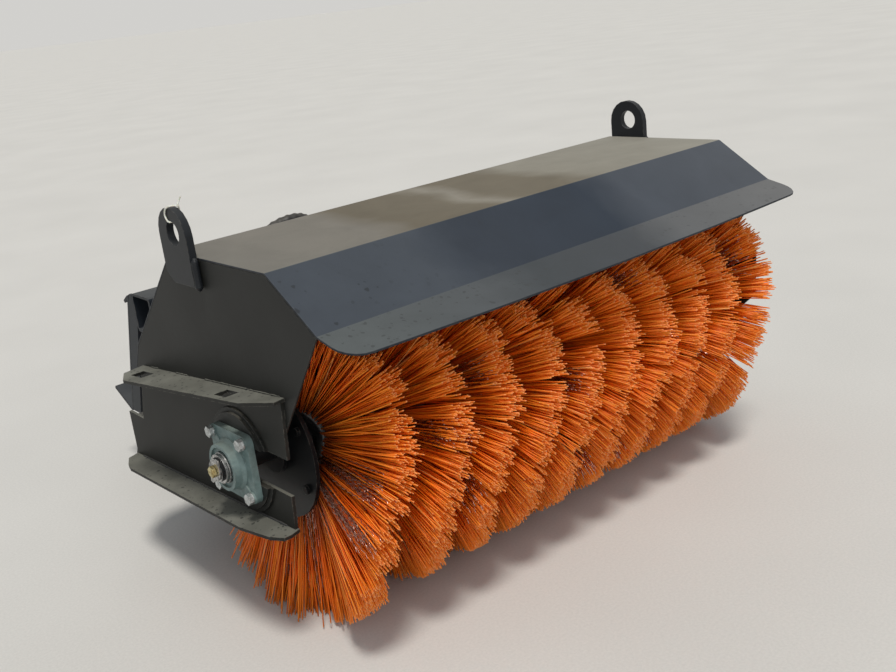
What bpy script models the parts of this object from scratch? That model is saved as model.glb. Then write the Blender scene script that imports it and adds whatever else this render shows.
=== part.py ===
"""Skid steer angle broom, one named object per separate piece.

Metres, +Z up. X runs along the brush, -Y is the front (the lip of the hood)
and +Y is the side that faces the machine.
"""
import math

import bmesh
import bpy
from mathutils import Vector

# Clearances between pieces
touch = 0.0003
runFit = 0.0004

# Hood: fold lines of the outer skin as (y, z)
hoodHalf = 0.762
hoodSkin = 0.0045
lipFoldY, lipFoldZ = -0.155, 0.784
lipDrop = 0.260
lipSide = 0.256
lipBow = 0.012
lipCorner = 0.055
topZ = 0.888
topBack = 0.406
slopeEndY, slopeEndZ = 0.700, 0.610
skirtY, skirtZ = 0.7347, 0.548
skirtFoot = 0.335
foldRadius = 0.008

# End plates and lifting lugs
endThick = 0.005
endFoot = 0.530
lugThick = 0.018
lugFront, lugBack = 0.272, 0.396
lugRise = 0.109
lugTop = topZ + lugRise
lugFoot = topZ - 0.063
lugHoleY = 0.330
lugHoleZ = lugTop - 0.057
lugHole = 0.0275

# Side brackets
webThick = 0.008
slotHalf = 0.044
slotLift = 0.006
rightNose = -0.110
rightNoseTop = 0.580
# Outer edges of the flanges, as distance from the web's outer face and y
topFlange = ((0.0517, 0.676), (0.0837, 0.607), (0.0557, 0.088), (0.0200, 0.000))
footFlange = ((0.0327, 0.826), (0.0537, 0.782), (0.0627, 0.749), (0.0677, 0.163))
footNose = ((0.0527, 0.060), (0.0357, 0.027), (0.0197, 0.026))
# Slots in the upper flange, as reach from the web, y and half length
flangeSlots = ((0.0359, 0.599, 0.031), (0.0285, 0.183, 0.026))
slotSide = 0.0165

# Brush
axisY, axisZ = 0.215, 0.430
brushRadius = 0.430
coreRadius = 0.096
coreWall = 0.008
coreHalf = hoodHalf - 0.078
waferCount = 10
endRowRoom = 0.054
waferPitch = 2.0 * (coreHalf - endRowRoom) / (waferCount - 1)
waferRing = 0.135
waferHalf = 0.028
strandCount = 32
waveCount = 4
waveBase = 0.018
waveTip = 0.045
flareTip = 0.017
endSplay = 0.026
discRadius = 0.172
discThick = 0.010

# Brush bearing
shaftRadius = 0.0273
shaftReach = 0.0594
driveReach = 0.050
boltReach = 0.065
boltRadius = 0.0078
flangeHalf = 0.081

# Rear beam and pivot
beamFront, beamBack = 0.735, 0.835
beamFoot, beamTop = 0.285, 0.385
beamWall = 0.006
pivotY = 0.900
pivotPin = 0.020
hubRadius = 0.050
forkGap = 0.0065
forkThick = 0.016
forkBase = beamTop + forkGap
forkTop = forkBase + forkThick
forkNose = 0.065

# Swing cylinder: both its pins stand at this reach from the pivot
pinReach = 0.300
barrelAngle, rodAngle = 205.0, 115.0
swingLimit = 25.0
pinRadius = 0.0125
eyeRadius = 0.026
eyeHalf = 0.0315
eyeGap = 0.001
cylinderZ = forkTop + 0.005 + eyeGap + eyeHalf
clevisThick = 0.012
clevisTop = cylinderZ + eyeHalf + eyeGap + clevisThick
barrelRadius = 0.030
boreRadius = 0.025
rodRadius = 0.015
rodLength = 0.277
rodPlay = 0.001

# Hitch: quick-attach plate, leaning
plateHalf = 0.570
plateThick = 0.010
hookY, hookZ = 1.215, 0.598
plateTopY, plateTopZ = 1.165, 0.630
plateFootY, plateFootZ = 1.335, 0.200
ledgeY, ledgeZ = 1.447, 0.259
tubeDeep = 0.120
tubeBack = plateTopY - 0.015
tubeFront = tubeBack - tubeDeep
tubeRoom = 0.0205
tubeHigh = 0.120
tubeFoot = clevisTop + tubeRoom
tubeTop = tubeFoot + tubeHigh
tubeWall = 0.008

# Parking stands
standX = plateHalf - 0.170
standY = (tubeFront + tubeBack) / 2.0
sleeveHalf = 0.030
sleeveWall = 0.0047
sleeveFoot, sleeveTop = tubeFoot - 0.020, tubeTop + 0.060
legHalf = 0.0243
legWall = 0.004
legTop = sleeveTop + 0.022
footHalf = 0.050
standTravel = 0.250

# Hoses and the parked couplers
hoseRadius = 0.014
archX, archRadius = -0.347, 0.080
archAlong = 0.1266
hoseLift = (0.0757, 0.0417)
portX = (hoodHalf + 0.090, hoodHalf + 0.046)

# Bodies and the point each one's pieces have as their origin
bodyOrigin = {
    "hitch": (0.0, 0.0, 0.0),
    "deck": (0.0, pivotY, 0.335),
    "brush": (0.0, axisY, axisZ),
    "stand_left": (-standX, standY, 0.0),
    "stand_right": (standX, standY, 0.0),
}

nodes = []
helpers = []
materials = {}


def polar(center, radius, degrees):
    angle = math.radians(degrees)
    return (center[0] + radius * math.cos(angle), center[1] + radius * math.sin(angle))


barrelPin = polar((0.0, pivotY), pinReach, barrelAngle)
rodPin = polar((0.0, pivotY), pinReach, rodAngle)
bodyOrigin["barrel"] = (barrelPin[0], barrelPin[1], cylinderZ)
bodyOrigin["rod"] = (rodPin[0], rodPin[1], cylinderZ)


def material(name, color, metallic, roughness):
    made = bpy.data.materials.new(name)
    made.use_nodes = True
    shader = made.node_tree.nodes["Principled BSDF"]
    shader.inputs["Base Color"].default_value = (*color, 1.0)
    shader.inputs["Metallic"].default_value = metallic
    shader.inputs["Roughness"].default_value = roughness
    materials[name] = made


def make_materials():
    material("black_paint", (0.022, 0.023, 0.025), 0.0, 0.42)
    material("bristle", (0.80, 0.13, 0.015), 0.0, 0.55)
    material("cast_grey", (0.12, 0.17, 0.16), 0.0, 0.50)
    material("zinc", (0.62, 0.62, 0.60), 1.0, 0.35)
    material("yellow_zinc", (0.66, 0.56, 0.32), 1.0, 0.35)
    material("bright_steel", (0.60, 0.59, 0.57), 1.0, 0.25)
    material("hose_rubber", (0.018, 0.018, 0.019), 0.0, 0.70)
    material("white_tie", (0.80, 0.80, 0.78), 0.0, 0.50)


def mesh_from(shape, name, origin):
    """Turn a bmesh into a mesh whose zero point is the given origin."""
    bmesh.ops.translate(shape, verts=shape.verts, vec=-Vector(origin))
    bmesh.ops.recalc_face_normals(shape, faces=shape.faces)
    mesh = bpy.data.meshes.new(name)
    shape.to_mesh(mesh)
    shape.free()
    for face in mesh.polygons:
        face.use_smooth = True
    mesh.set_sharp_from_angle(angle=math.radians(32.0))
    return mesh


def node(name, shape, look, body):
    origin = bodyOrigin[body]
    made = bpy.data.objects.new(name, mesh_from(shape, name, origin))
    made.data.materials.append(materials[look])
    made.location = origin
    made["body"] = body
    bpy.context.scene.collection.objects.link(made)
    nodes.append(made)
    return made


def combine(target, operation, shapes):
    """Join shapes to a piece, or cut them out of it."""
    for shape in shapes:
        name = "%s_%s_%d" % (target.name, operation.lower(), len(helpers))
        origin = tuple(target.location)
        helper = bpy.data.objects.new(name, mesh_from(shape, name, origin))
        helper.location = origin
        helper.hide_render = True
        helper.display_type = "WIRE"
        bpy.context.scene.collection.objects.link(helper)
        helpers.append(helper)
        step = target.modifiers.new(name, "BOOLEAN")
        step.operation = operation
        step.solver = "EXACT"
        step.object = helper


def join(target, *shapes):
    combine(target, "UNION", shapes)


def cut(target, *shapes):
    combine(target, "DIFFERENCE", shapes)


def placed(axis, a, b, along):
    if axis == "x":
        return (along, a, b)
    if axis == "y":
        return (a, along, b)
    return (a, b, along)


def prism(axis, outline, low, high):
    """Outline in the plane across an axis, drawn out from low to high."""
    shape = bmesh.new()
    ends = []
    for along in (low, high):
        ends.append([shape.verts.new(placed(axis, a, b, along)) for a, b in outline])
    shape.faces.new(ends[0])
    shape.faces.new(ends[1])
    for here in range(len(outline)):
        there = (here + 1) % len(outline)
        shape.faces.new((ends[0][here], ends[0][there], ends[1][there], ends[1][here]))
    return shape


def box(xs, ys, zs):
    return prism("z", [(xs[0], ys[0]), (xs[1], ys[0]), (xs[1], ys[1]), (xs[0], ys[1])], *zs)


def slab(outline, surface, thick):
    """Plate with an (x, y) outline whose upper or lower face follows a sloping surface."""
    shape = bmesh.new()
    ends = []
    for lift in (0.0, thick):
        ends.append([shape.verts.new((x, y, surface(y) + lift)) for x, y in outline])
    shape.faces.new(ends[0])
    shape.faces.new(ends[1])
    for here in range(len(outline)):
        there = (here + 1) % len(outline)
        shape.faces.new((ends[0][here], ends[0][there], ends[1][there], ends[1][here]))
    return shape


def turned(profile, origin, direction, steps, phase=0.0):
    """Closed profile of (radius, along) turned round an axis; a third item "hex" makes flats."""
    axis = Vector(direction).normalized()
    side = axis.orthogonal().normalized()
    other = axis.cross(side)
    shape = bmesh.new()
    rings = []
    for item in profile:
        center = Vector(origin) + axis * item[1]
        if item[0] < 1e-9:
            rings.append([shape.verts.new(center)])
            continue
        ring = []
        for index in range(steps):
            angle = 2.0 * math.pi * index / steps + phase
            radius = item[0]
            if len(item) > 2:
                turn = (angle + math.pi / 6.0) % (math.pi / 3.0) - math.pi / 6.0
                radius = item[0] / math.cos(turn)
            ring.append(shape.verts.new(center + (side * math.cos(angle) + other * math.sin(angle)) * radius))
        rings.append(ring)
    for near, far in zip(rings, rings[1:] + rings[:1]):
        if len(near) == 1 and len(far) == 1:
            continue
        for here in range(steps):
            there = (here + 1) % steps
            corners = []
            for ring, index in ((near, here), (near, there), (far, there), (far, here)):
                corner = ring[index % len(ring)]
                if corner not in corners:
                    corners.append(corner)
            shape.faces.new(corners)
    return shape


def hex_shape(origin, direction, flat, low, high):
    corner = flat / math.cos(math.pi / 6.0)
    return turned([(0.0, low), (corner, low), (corner, high), (0.0, high)], origin, direction, 6)


def rod_shape(origin, direction, radius, low, high, steps):
    profile = [(0.0, low), (radius, low), (radius, high), (0.0, high)]
    return turned(profile, origin, direction, steps, math.radians(4.0))


def swept(points, radius, steps):
    """Round bar along a path, closed at both ends."""
    shape = bmesh.new()
    path = [Vector(point) for point in points]
    rings = []
    side = None
    for index, point in enumerate(path):
        ahead = path[min(index + 1, len(path) - 1)] - path[max(index - 1, 0)]
        ahead.normalize()
        if side is None:
            side = ahead.orthogonal().normalized()
        side = (side - ahead * side.dot(ahead)).normalized()
        other = ahead.cross(side)
        ring = []
        for turn in range(steps):
            angle = 2.0 * math.pi * turn / steps
            ring.append(shape.verts.new(point + (side * math.cos(angle) + other * math.sin(angle)) * radius))
        rings.append(ring)
    for near, far in zip(rings, rings[1:]):
        for here in range(steps):
            there = (here + 1) % steps
            shape.faces.new((near[here], near[there], far[there], far[here]))
    shape.faces.new(rings[0])
    shape.faces.new(rings[-1])
    return shape


def eased(path):
    """The path without the points where it hardly turns."""
    kept = [path[0]]
    for point, ahead in zip(path[1:], path[2:]):
        if (point - kept[-1]).angle(ahead - point) > math.radians(0.3):
            kept.append(point)
    kept.append(path[-1])
    return kept


def smooth_path(points, spans):
    """Even curve through every point."""
    path = [Vector(point) for point in points]
    padded = [path[0] * 2.0 - path[1]] + path + [path[-1] * 2.0 - path[-2]]
    curve = []
    for index in range(1, len(padded) - 2):
        before, start, end, after = padded[index - 1:index + 3]
        for step in range(spans):
            t = step / spans
            part = start * 2.0 + (end - before) * t
            part += (before * 2.0 - start * 5.0 + end * 4.0 - after) * t * t
            part += (start * 3.0 - before - end * 3.0 + after) * t * t * t
            curve.append(part * 0.5)
    curve.append(path[-1])
    return curve


def rounded(points, radius, steps):
    """Replace the inner corners of an open line by arcs."""
    line = [points[0]]
    for before, corner, after in zip(points, points[1:], points[2:]):
        corner = Vector(corner)
        back = Vector(before) - corner
        ahead = Vector(after) - corner
        half = back.angle(ahead) / 2.0
        reach = min(radius / math.tan(half), back.length * 0.45, ahead.length * 0.45)
        start = corner + back.normalized() * reach
        end = corner + ahead.normalized() * reach
        for step in range(steps + 1):
            t = step / steps
            bend = start * (1.0 - t) ** 2 + corner * (2.0 * t * (1.0 - t)) + end * t ** 2
            line.append((bend.x, bend.y))
    line.append(points[-1])
    return line


def shifted_line(points, distance):
    """The line moved sideways, to its right, by a distance."""
    moved = []
    for index, point in enumerate(points):
        normals = []
        for first, second in ((index - 1, index), (index, index + 1)):
            if first < 0 or second >= len(points):
                continue
            run = Vector(points[second]) - Vector(points[first])
            run.normalize()
            normals.append(Vector((run.y, -run.x)))
        normal = sum(normals, Vector((0.0, 0.0)))
        normal.normalize()
        stretch = distance / normal.dot(normals[0])
        moved.append((point[0] + normal.x * stretch, point[1] + normal.y * stretch))
    return moved


def hood_line():
    lip = lipSide + lipBow + 0.010
    points = [
        (-lip, lipFoldZ - (lip + lipFoldY) * lipDrop),
        (lipFoldY, lipFoldZ),
        (0.0, topZ),
        (topBack, topZ),
        (slopeEndY, slopeEndZ),
        (skirtY, skirtZ),
        (skirtY, skirtFoot),
    ]
    return rounded(points, foldRadius, 3)


def lip_edge():
    """Front edge of the lip from left to right: a slight bow with round corners."""
    edge = []
    inner = hoodHalf - lipCorner
    front = -lipSide
    for degrees in (0.0, 18.0, 36.0, 54.0, 72.0):
        x, y = polar((inner, front + lipCorner), lipCorner, -degrees)
        edge.append((x, y))
    edge.append((inner, front))
    middle = []
    for share in (0.75, 0.5, 0.25, 0.0, -0.25, -0.5, -0.75):
        middle.append((inner * share, front - lipBow * (1.0 - share * share)))
    left = [(-x, y) for x, y in reversed(edge)]
    return edge + middle + left


def make_hood():
    outer = hood_line()
    inner = shifted_line(outer, hoodSkin)
    hood = node("hood", prism("x", outer + inner[::-1], -hoodHalf, hoodHalf), "black_paint", "deck")
    wide = hoodHalf + 0.03
    outline = [(wide, lip_edge()[0][1])] + lip_edge() + [(-wide, lip_edge()[-1][1]), (-wide, -0.34), (wide, -0.34)]
    cut(hood, prism("z", outline, 0.70, 0.83))


def make_end_plate(name, side):
    under = shifted_line(hood_line(), hoodSkin + touch)
    under = [point for point in under if point[1] > endFoot and point[0] > lipFoldY + 0.001]
    outline = under + [(under[-1][0], endFoot), (0.030, endFoot)]
    inner, outer = hoodHalf - endThick, hoodHalf
    node(name, prism("x", outline, *sorted((side * inner, side * outer))), "black_paint", "deck")


def make_lug(name, side):
    middle, half = (lugFront + lugBack) / 2.0, (lugBack - lugFront) / 2.0
    outline = [(lugFront, lugFoot)]
    for index in range(11):
        outline.append(polar((middle, lugTop - half), half, 180.0 - 18.0 * index))
    outline += [(lugBack, lugFoot + 0.025), (lugBack - 0.030, lugFoot)]
    inner = hoodHalf + touch
    lug = node(name, prism("x", outline, *sorted((side * inner, side * (inner + lugThick)))), "black_paint", "deck")
    hole = rod_shape((side * inner, lugHoleY, lugHoleZ), (1, 0, 0), lugHole, -0.03, 0.03, 24)
    cut(lug, hole)


def bracket_top(y):
    return 0.623 - (y - 0.008) * 0.0991


def bracket_foot(y):
    return 0.303 - (y - 0.030) * 0.0489


def slot_outline(center, half, front, steps):
    outline = [(front, center[1] - half)]
    for index in range(steps + 1):
        outline.append(polar(center, half, -90.0 + 180.0 * index / steps))
    outline.append((front, center[1] + half))
    return outline


def make_bracket(name, side):
    inner = hoodHalf + touch
    outer = inner + webThick
    flangeIn = inner - 0.0002
    nose = 0.008
    web = [(0.040, 0.3038), (nose, 0.6215)]
    top = [(outer + reach, y) for reach, y in topFlange]
    if side > 0:
        nose = rightNose
        web = [(0.040, 0.3038), (nose + 0.005, 0.440), (nose, rightNoseTop), (0.004, rightNoseTop), (0.008, 0.6215)]
    web += [(0.694, 0.5535), (0.709, 0.500), (0.739, 0.423), (0.745, 0.397)]
    web += [(0.834, 0.397), (0.836, 0.287), (0.848, 0.2645)]
    shape = prism("x", web, *sorted((side * inner, side * outer)))
    bracket = node(name, shape, "black_paint", "deck")
    top = [(flangeIn, 0.692)] + top + [(flangeIn, top[3][1] + 0.004)]
    foot = [(outer + reach, y) for reach, y in footFlange + footNose]
    foot = [(flangeIn, 0.842)] + foot + [(flangeIn, 0.034)]
    mirror = [[(side * x, y) for x, y in outline] for outline in (top, foot)]
    join(bracket, slab(mirror[0], bracket_top, -webThick))
    join(bracket, slab(mirror[1], bracket_foot, webThick))
    for reach, y, half in flangeSlots:
        width = sorted((side * (outer + reach - slotSide), side * (outer + reach + slotSide)))
        cut(bracket, box(width, (y - half, y + half), (0.52, 0.66)))
    if side < 0:
        center = (axisY, axisZ + slotLift)
        low, high = -outer - 0.02, -inner + 0.02
        cut(bracket, prism("x", slot_outline(center, slotHalf, -0.05, 10), low, high))
        for turn in range(4):
            cut(bracket, bolt_bore(turn, -outer - 0.02, -inner + 0.02))
    else:
        hole = rod_shape((0.0, axisY, axisZ), (1, 0, 0), 0.041, inner - 0.02, outer + 0.02, 24)
        cut(bracket, hole)


def bolt_center(turn):
    y = axisY + (boltReach if turn in (0, 1) else -boltReach)
    z = axisZ + (boltReach if turn in (0, 3) else -boltReach)
    return y, z


def bolt_bore(turn, low, high):
    y, z = bolt_center(turn)
    return rod_shape((0.0, y, z), (1, 0, 0), boltRadius + runFit, low, high, 12)


def rib_outline(turn):
    """Casting rib from the bearing's drum out to a bolt's boss."""
    y, z = bolt_center(turn)
    along = Vector((y - axisY, z - axisZ)).normalized()
    across = Vector((-along.y, along.x)) * 0.007
    outline = []
    for reach, side in ((0.050, 1), (0.080, 1), (0.080, -1), (0.050, -1)):
        corner = Vector((axisY, axisZ)) + along * reach + across * side
        outline.append((corner.x, corner.y))
    return outline


def make_bearing():
    face = -(hoodHalf + touch + webThick + touch)
    step = face - 0.0057
    back = step - 0.0060
    bore = 0.046
    center = (0.0, axisY, axisZ)
    ring = [(bore, face), (0.125, face), (0.125, step), (0.115, step), (0.115, back), (bore, back)]
    spacer = node("bearing_spacer", turned(ring, center, (1, 0, 0), 32), "black_paint", "deck")
    cut(spacer, prism("x", slot_outline((axisY, axisZ + slotLift), slotHalf, 0.05, 10), back - 0.02, face + 0.02))
    seat = back - touch
    corner = 0.0175
    reach = flangeHalf - corner
    outline = []
    for index, (a, b) in enumerate(((1, 1), (-1, 1), (-1, -1), (1, -1))):
        for step_angle in (0.0, 30.0, 60.0, 90.0):
            middle = (axisY + a * reach, axisZ + b * reach)
            outline.append(polar(middle, corner, index * 90.0 + step_angle))
    housing = node("bearing_housing", prism("x", outline, seat - 0.0160, seat), "cast_grey", "deck")
    cut(housing, rod_shape(center, (1, 0, 0), 0.0370, seat - 0.08, seat + 0.02, 24))
    for turn in range(4):
        cut(spacer, bolt_bore(turn, back - 0.02, face + 0.02))
        cut(housing, bolt_bore(turn, seat - 0.04, seat + 0.02))
    body = [(0.0373, seat - 0.002), (0.062, seat - 0.002), (0.062, seat - 0.019), (0.056, seat - 0.026)]
    body += [(0.055, seat - 0.044), (0.0475, seat - 0.044), (0.0475, seat - 0.038), (0.0373, seat - 0.038)]
    join(housing, turned(body, center, (1, 0, 0), 32))
    bore = boltRadius + runFit + 0.0003
    for turn in range(4):
        boss = [(bore, seat - 0.004), (0.0145, seat - 0.004), (0.0145, seat - 0.020), (bore, seat - 0.020)]
        join(housing, turned(boss, (0.0, *bolt_center(turn)), (1, 0, 0), 16))
        join(housing, prism("x", rib_outline(turn), seat - 0.0195, seat - 0.004))
    make_bearing_bolts(seat - 0.0200 - touch)
    make_shaft_end(seat)


def make_bearing_bolts(seat):
    """Hexagon bolt, washer and nut; the nut bears on the inner side of the web."""
    inner = -(hoodHalf + touch) + touch
    for turn in range(4):
        y, z = bolt_center(turn)
        profile = [(0.0, inner + 0.018), (boltRadius, inner + 0.018), (boltRadius, inner + 0.0130)]
        profile += [(0.0120, inner + 0.0130, "hex"), (0.0120, inner, "hex"), (boltRadius, inner)]
        profile += [(boltRadius, seat), (0.0140, seat), (0.0140, seat - 0.0025), (0.0120, seat - 0.0025, "hex")]
        profile += [(0.0120, seat - 0.0115, "hex"), (0.0100, seat - 0.0125), (0.0, seat - 0.0125)]
        node("bearing_bolt_%d" % (turn + 1), turned(profile, (0.0, y, z), (1, 0, 0), 12), "zinc", "deck")


def make_shaft_end(seat):
    center = (0.0, axisY, axisZ)
    discOuter = coreHalf + touch + discThick
    inside = -(discOuter + touch)
    end = seat - shaftReach
    profile = [(0.0, inside), (0.060, inside), (0.060, inside - 0.010), (shaftRadius, inside - 0.010)]
    profile += [(shaftRadius, end), (0.0084, end), (0.0084, end + 0.045), (0.0, end + 0.045)]
    node("stub_shaft", turned(profile, center, (1, 0, 0), 24), "bright_steel", "brush")
    bore = shaftRadius + touch
    ring = [(bore, seat - 0.004), (0.0364, seat - 0.004), (0.0364, seat - 0.0435), (0.0345, seat - 0.0435)]
    ring += [(0.0345, seat - 0.052), (bore, seat - 0.052)]
    node("bearing_inner_ring", turned(ring, center, (1, 0, 0), 24), "bright_steel", "brush")
    outer = end - touch
    outline = []
    for index in range(28):
        degrees = index * 360.0 / 28
        lobe = max(0.0, math.cos(math.radians(2.0 * (degrees - 125.0)))) ** 4
        outline.append(polar((axisY, axisZ), 0.0235 + 0.0175 * lobe, degrees))
    keeper = node("keeper_plate", prism("x", outline, outer - 0.004, outer), "bright_steel", "brush")
    cut(keeper, rod_shape(center, (1, 0, 0), 0.0084, outer - 0.02, outer + 0.02, 16))
    face = outer - 0.004 - touch
    profile = [(0.0, end + 0.040), (0.0080, end + 0.040), (0.0080, face), (0.0120, face, "hex")]
    profile += [(0.0120, face - 0.0085, "hex"), (0.0100, face - 0.0098), (0.0, face - 0.0098)]
    node("keeper_bolt", turned(profile, center, (1, 0, 0), 12), "yellow_zinc", "brush")


def make_core():
    center = (0.0, axisY, axisZ)
    bore = coreRadius - coreWall
    plug = (coreHalf - 0.084, coreHalf - 0.066)
    drive = hoodHalf + driveReach
    profile = [(0.0, plug[0]), (bore, plug[0]), (bore, -coreHalf), (coreRadius, -coreHalf), (coreRadius, coreHalf)]
    profile += [(bore, coreHalf), (bore, plug[1]), (0.0175, plug[1]), (0.0175, drive), (0.0, drive)]
    node("core_tube", turned(profile, center, (1, 0, 0), 32), "black_paint", "brush")
    for name, side in (("end_disc_left", -1), ("end_disc_right", 1)):
        near = side * (coreHalf + touch)
        far = side * (coreHalf + touch + discThick)
        shape = rod_shape(center, (1, 0, 0), discRadius, min(near, far), max(near, far), 36)
        disc = node(name, shape, "black_paint", "brush")
        for turn in range(6):
            y, z = polar((axisY, axisZ), 0.142, 30.0 + 60.0 * turn)
            join(disc, hex_shape((far, y, z), (side, 0, 0), 0.0095, -0.003, 0.007))
        if side > 0:
            cut(disc, rod_shape(center, (1, 0, 0), 0.0180, near - 0.02, far + 0.02, 16))


def wave(degrees):
    return math.sin(math.radians(waveCount * (degrees - 160.0) + 90.0))


def wafer_shape(middle, splay):
    """Wavy ring with strands growing out of its rim, one in every cell of the rim."""
    shape = bmesh.new()
    sector = 360.0 / strandCount
    inner = (coreRadius + touch) / math.cos(math.pi / strandCount)
    rings = []
    for index in range(strandCount):
        degrees = -90.0 + (index - 0.5) * sector
        shift = middle + wave(degrees) * waveBase
        corners = []
        for radius, x in ((waferRing, -1), (waferRing, 1), (inner, 1), (inner, -1)):
            y, z = polar((axisY, axisZ), radius, degrees)
            corners.append(shape.verts.new((shift + x * waferHalf, y, z)))
        rings.append(corners)
    for index in range(strandCount):
        here, there = rings[index], rings[(index + 1) % strandCount]
        for first, second in ((1, 2), (2, 3), (3, 0)):
            shape.faces.new((here[first], here[second], there[second], there[first]))
        base, tip = strand_ends(shape, index, here, there, middle, splay)
        shape.faces.new((here[0], here[1], base[1], base[0]))
        shape.faces.new((here[1], there[1], base[2], base[1]))
        shape.faces.new((there[1], there[0], base[2]))
        shape.faces.new((there[0], here[0], base[0], base[2]))
        for first, second in ((0, 1), (1, 2), (2, 0)):
            shape.faces.new((base[first], base[second], tip[second]))
            shape.faces.new((base[first], tip[second], tip[first]))
        shape.faces.new(tip)
    return shape


def strand_ends(shape, index, here, there, middle, splay):
    degrees = -90.0 + index * 360.0 / strandCount
    radial = Vector((0.0, *polar((0.0, 0.0), 1.0, degrees)))
    around = Vector((0.0, -radial.z, radial.y))
    center = (here[0].co + here[1].co + there[0].co + there[1].co) / 4.0
    flare = flareTip * (1 if index % 2 else -1)
    far = Vector((middle + wave(degrees) * waveTip + flare + splay, axisY, axisZ)) + radial * brushRadius
    ends = []
    for point, size in ((center, 0.0052), (far, 0.0040)):
        corners = []
        for x, turn in ((-0.87, -0.5), (0.87, -0.5), (0.0, 1.0)):
            corners.append(shape.verts.new(point + Vector((x * size, 0.0, 0.0)) + around * turn * size))
        ends.append(corners)
    return ends


def make_wafers():
    for index in range(waferCount):
        middle = (index - (waferCount - 1) / 2.0) * waferPitch
        splay = {0: -endSplay, waferCount - 1: endSplay}.get(index, 0.0)
        node("wafer_%02d" % (index + 1), wafer_shape(middle, splay), "bristle", "brush")


def make_motor():
    seat = hoodHalf + touch + webThick + touch
    center = (0.0, axisY, axisZ)
    profile = [(0.0, seat), (0.062, seat), (0.062, seat + 0.018), (0.048, seat + 0.018), (0.048, seat + 0.105)]
    profile += [(0.055, seat + 0.105), (0.055, seat + 0.118), (0.050, seat + 0.122), (0.050, seat + 0.145)]
    profile += [(0.042, seat + 0.152), (0.0, seat + 0.152)]
    motor = node("motor", turned(profile, center, (1, 0, 0), 28), "black_paint", "deck")
    for degrees in (45.0, 135.0, 225.0, 315.0):
        y, z = polar((axisY, axisZ), 0.053, degrees)
        ear = rod_shape((0.0, y, z), (1, 0, 0), 0.020, seat + 0.0008, seat + 0.0165, 16)
        join(motor, ear)
        y, z = polar((axisY, axisZ), 0.060, degrees)
        join(motor, hex_shape((seat, y, z), (1, 0, 0), 0.0095, 0.015, 0.026))
    block = box((seat + 0.020, seat + 0.098), (axisY, axisY + 0.058), (axisZ - 0.030, axisZ + 0.030))
    join(motor, block)
    for x in portX:
        join(motor, hex_shape((x, axisY, axisZ), (0, 1, 0), 0.0185, 0.050, 0.068))
    cut(motor, rod_shape(center, (1, 0, 0), 0.0179, seat - 0.02, seat + 0.050, 24))


def on_slope(along, lift):
    """Point (y, z) on the rear slope, a way down it and a height above it."""
    run = Vector((slopeEndY - topBack, slopeEndZ - topZ)).normalized()
    point = Vector((topBack, topZ)) + run * along + Vector((-run.y, run.x)) * lift
    return point.x, point.y


def hose_points(index):
    """Centre line from the parked coupler, over the arch and along the beam to the motor."""
    lift = hoseLift[index]
    port = portX[index]
    points = []
    foot = archAlong + archRadius
    points.append((archX - archRadius, *on_slope(foot - 0.008, lift)))
    for degrees in (155.0, 130.0, 105.0, 80.0, 55.0, 30.0, 5.0):
        x, rise = polar((archX, 0.0), archRadius, degrees)
        points.append((x, *on_slope(foot - rise, lift)))
    points.append((archX + archRadius, *on_slope(foot + 0.040, lift)))
    if index == 0:
        points += [(-0.262, *on_slope(0.335, lift)), (-0.232, 0.765, 0.640), (-0.188, 0.790, 0.555)]
        points += [(-0.145, 0.797, 0.480), (-0.095, 0.797, 0.425), (-0.030, 0.797, 0.403)]
        points += [(0.250, 0.797, 0.403), (0.400, 0.797, 0.403), (0.560, 0.797, 0.403)]
        points += [(port - 0.152, 0.798, 0.413), (port - 0.076, 0.796, 0.420), (port - 0.024, 0.770, 0.424)]
        points += [(port - 0.002, 0.710, 0.427), (port + 0.001, 0.640, 0.430), (port, 0.480, 0.430)]
    else:
        points += [(-0.262, *on_slope(0.335, lift)), (-0.226, 0.735, 0.610), (-0.186, 0.753, 0.540)]
        points += [(-0.135, 0.761, 0.462), (-0.085, 0.762, 0.420), (-0.030, 0.762, 0.403)]
        points += [(0.250, 0.762, 0.403), (0.400, 0.762, 0.403), (0.560, 0.762, 0.403)]
        points += [(port - 0.118, 0.763, 0.412), (port - 0.051, 0.764, 0.421), (port - 0.014, 0.745, 0.427)]
        points += [(port + 0.001, 0.700, 0.430), (port + 0.002, 0.620, 0.431), (port, 0.480, 0.430)]
    points.append((port, axisY + 0.068 + touch, axisZ))
    return points


def make_hoses():
    for index in range(2):
        start = (archX - archRadius, *on_slope(archAlong + archRadius + touch, hoseLift[index]))
        path = [Vector(start)] + eased(smooth_path(hose_points(index), 2))
        node("hose_%d" % (index + 1), swept(path, hoseRadius, 8), "hose_rubber", "deck")
    low, high = beamTop + touch, 0.4225
    clamp = node("hose_clamp", box((0.325, 0.355), (0.742, 0.817), (low, high)), "black_paint", "deck")
    join(clamp, rod_shape((0.340, 0.7795, 0.0), (0, 0, 1), 0.0065, high - 0.004, high + 0.006, 6))
    for y in (0.797, 0.762):
        cut(clamp, rod_shape((0.340, y, 0.403), (1, 0, 0), hoseRadius + runFit * 2.0, -0.04, 0.04, 16))


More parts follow.
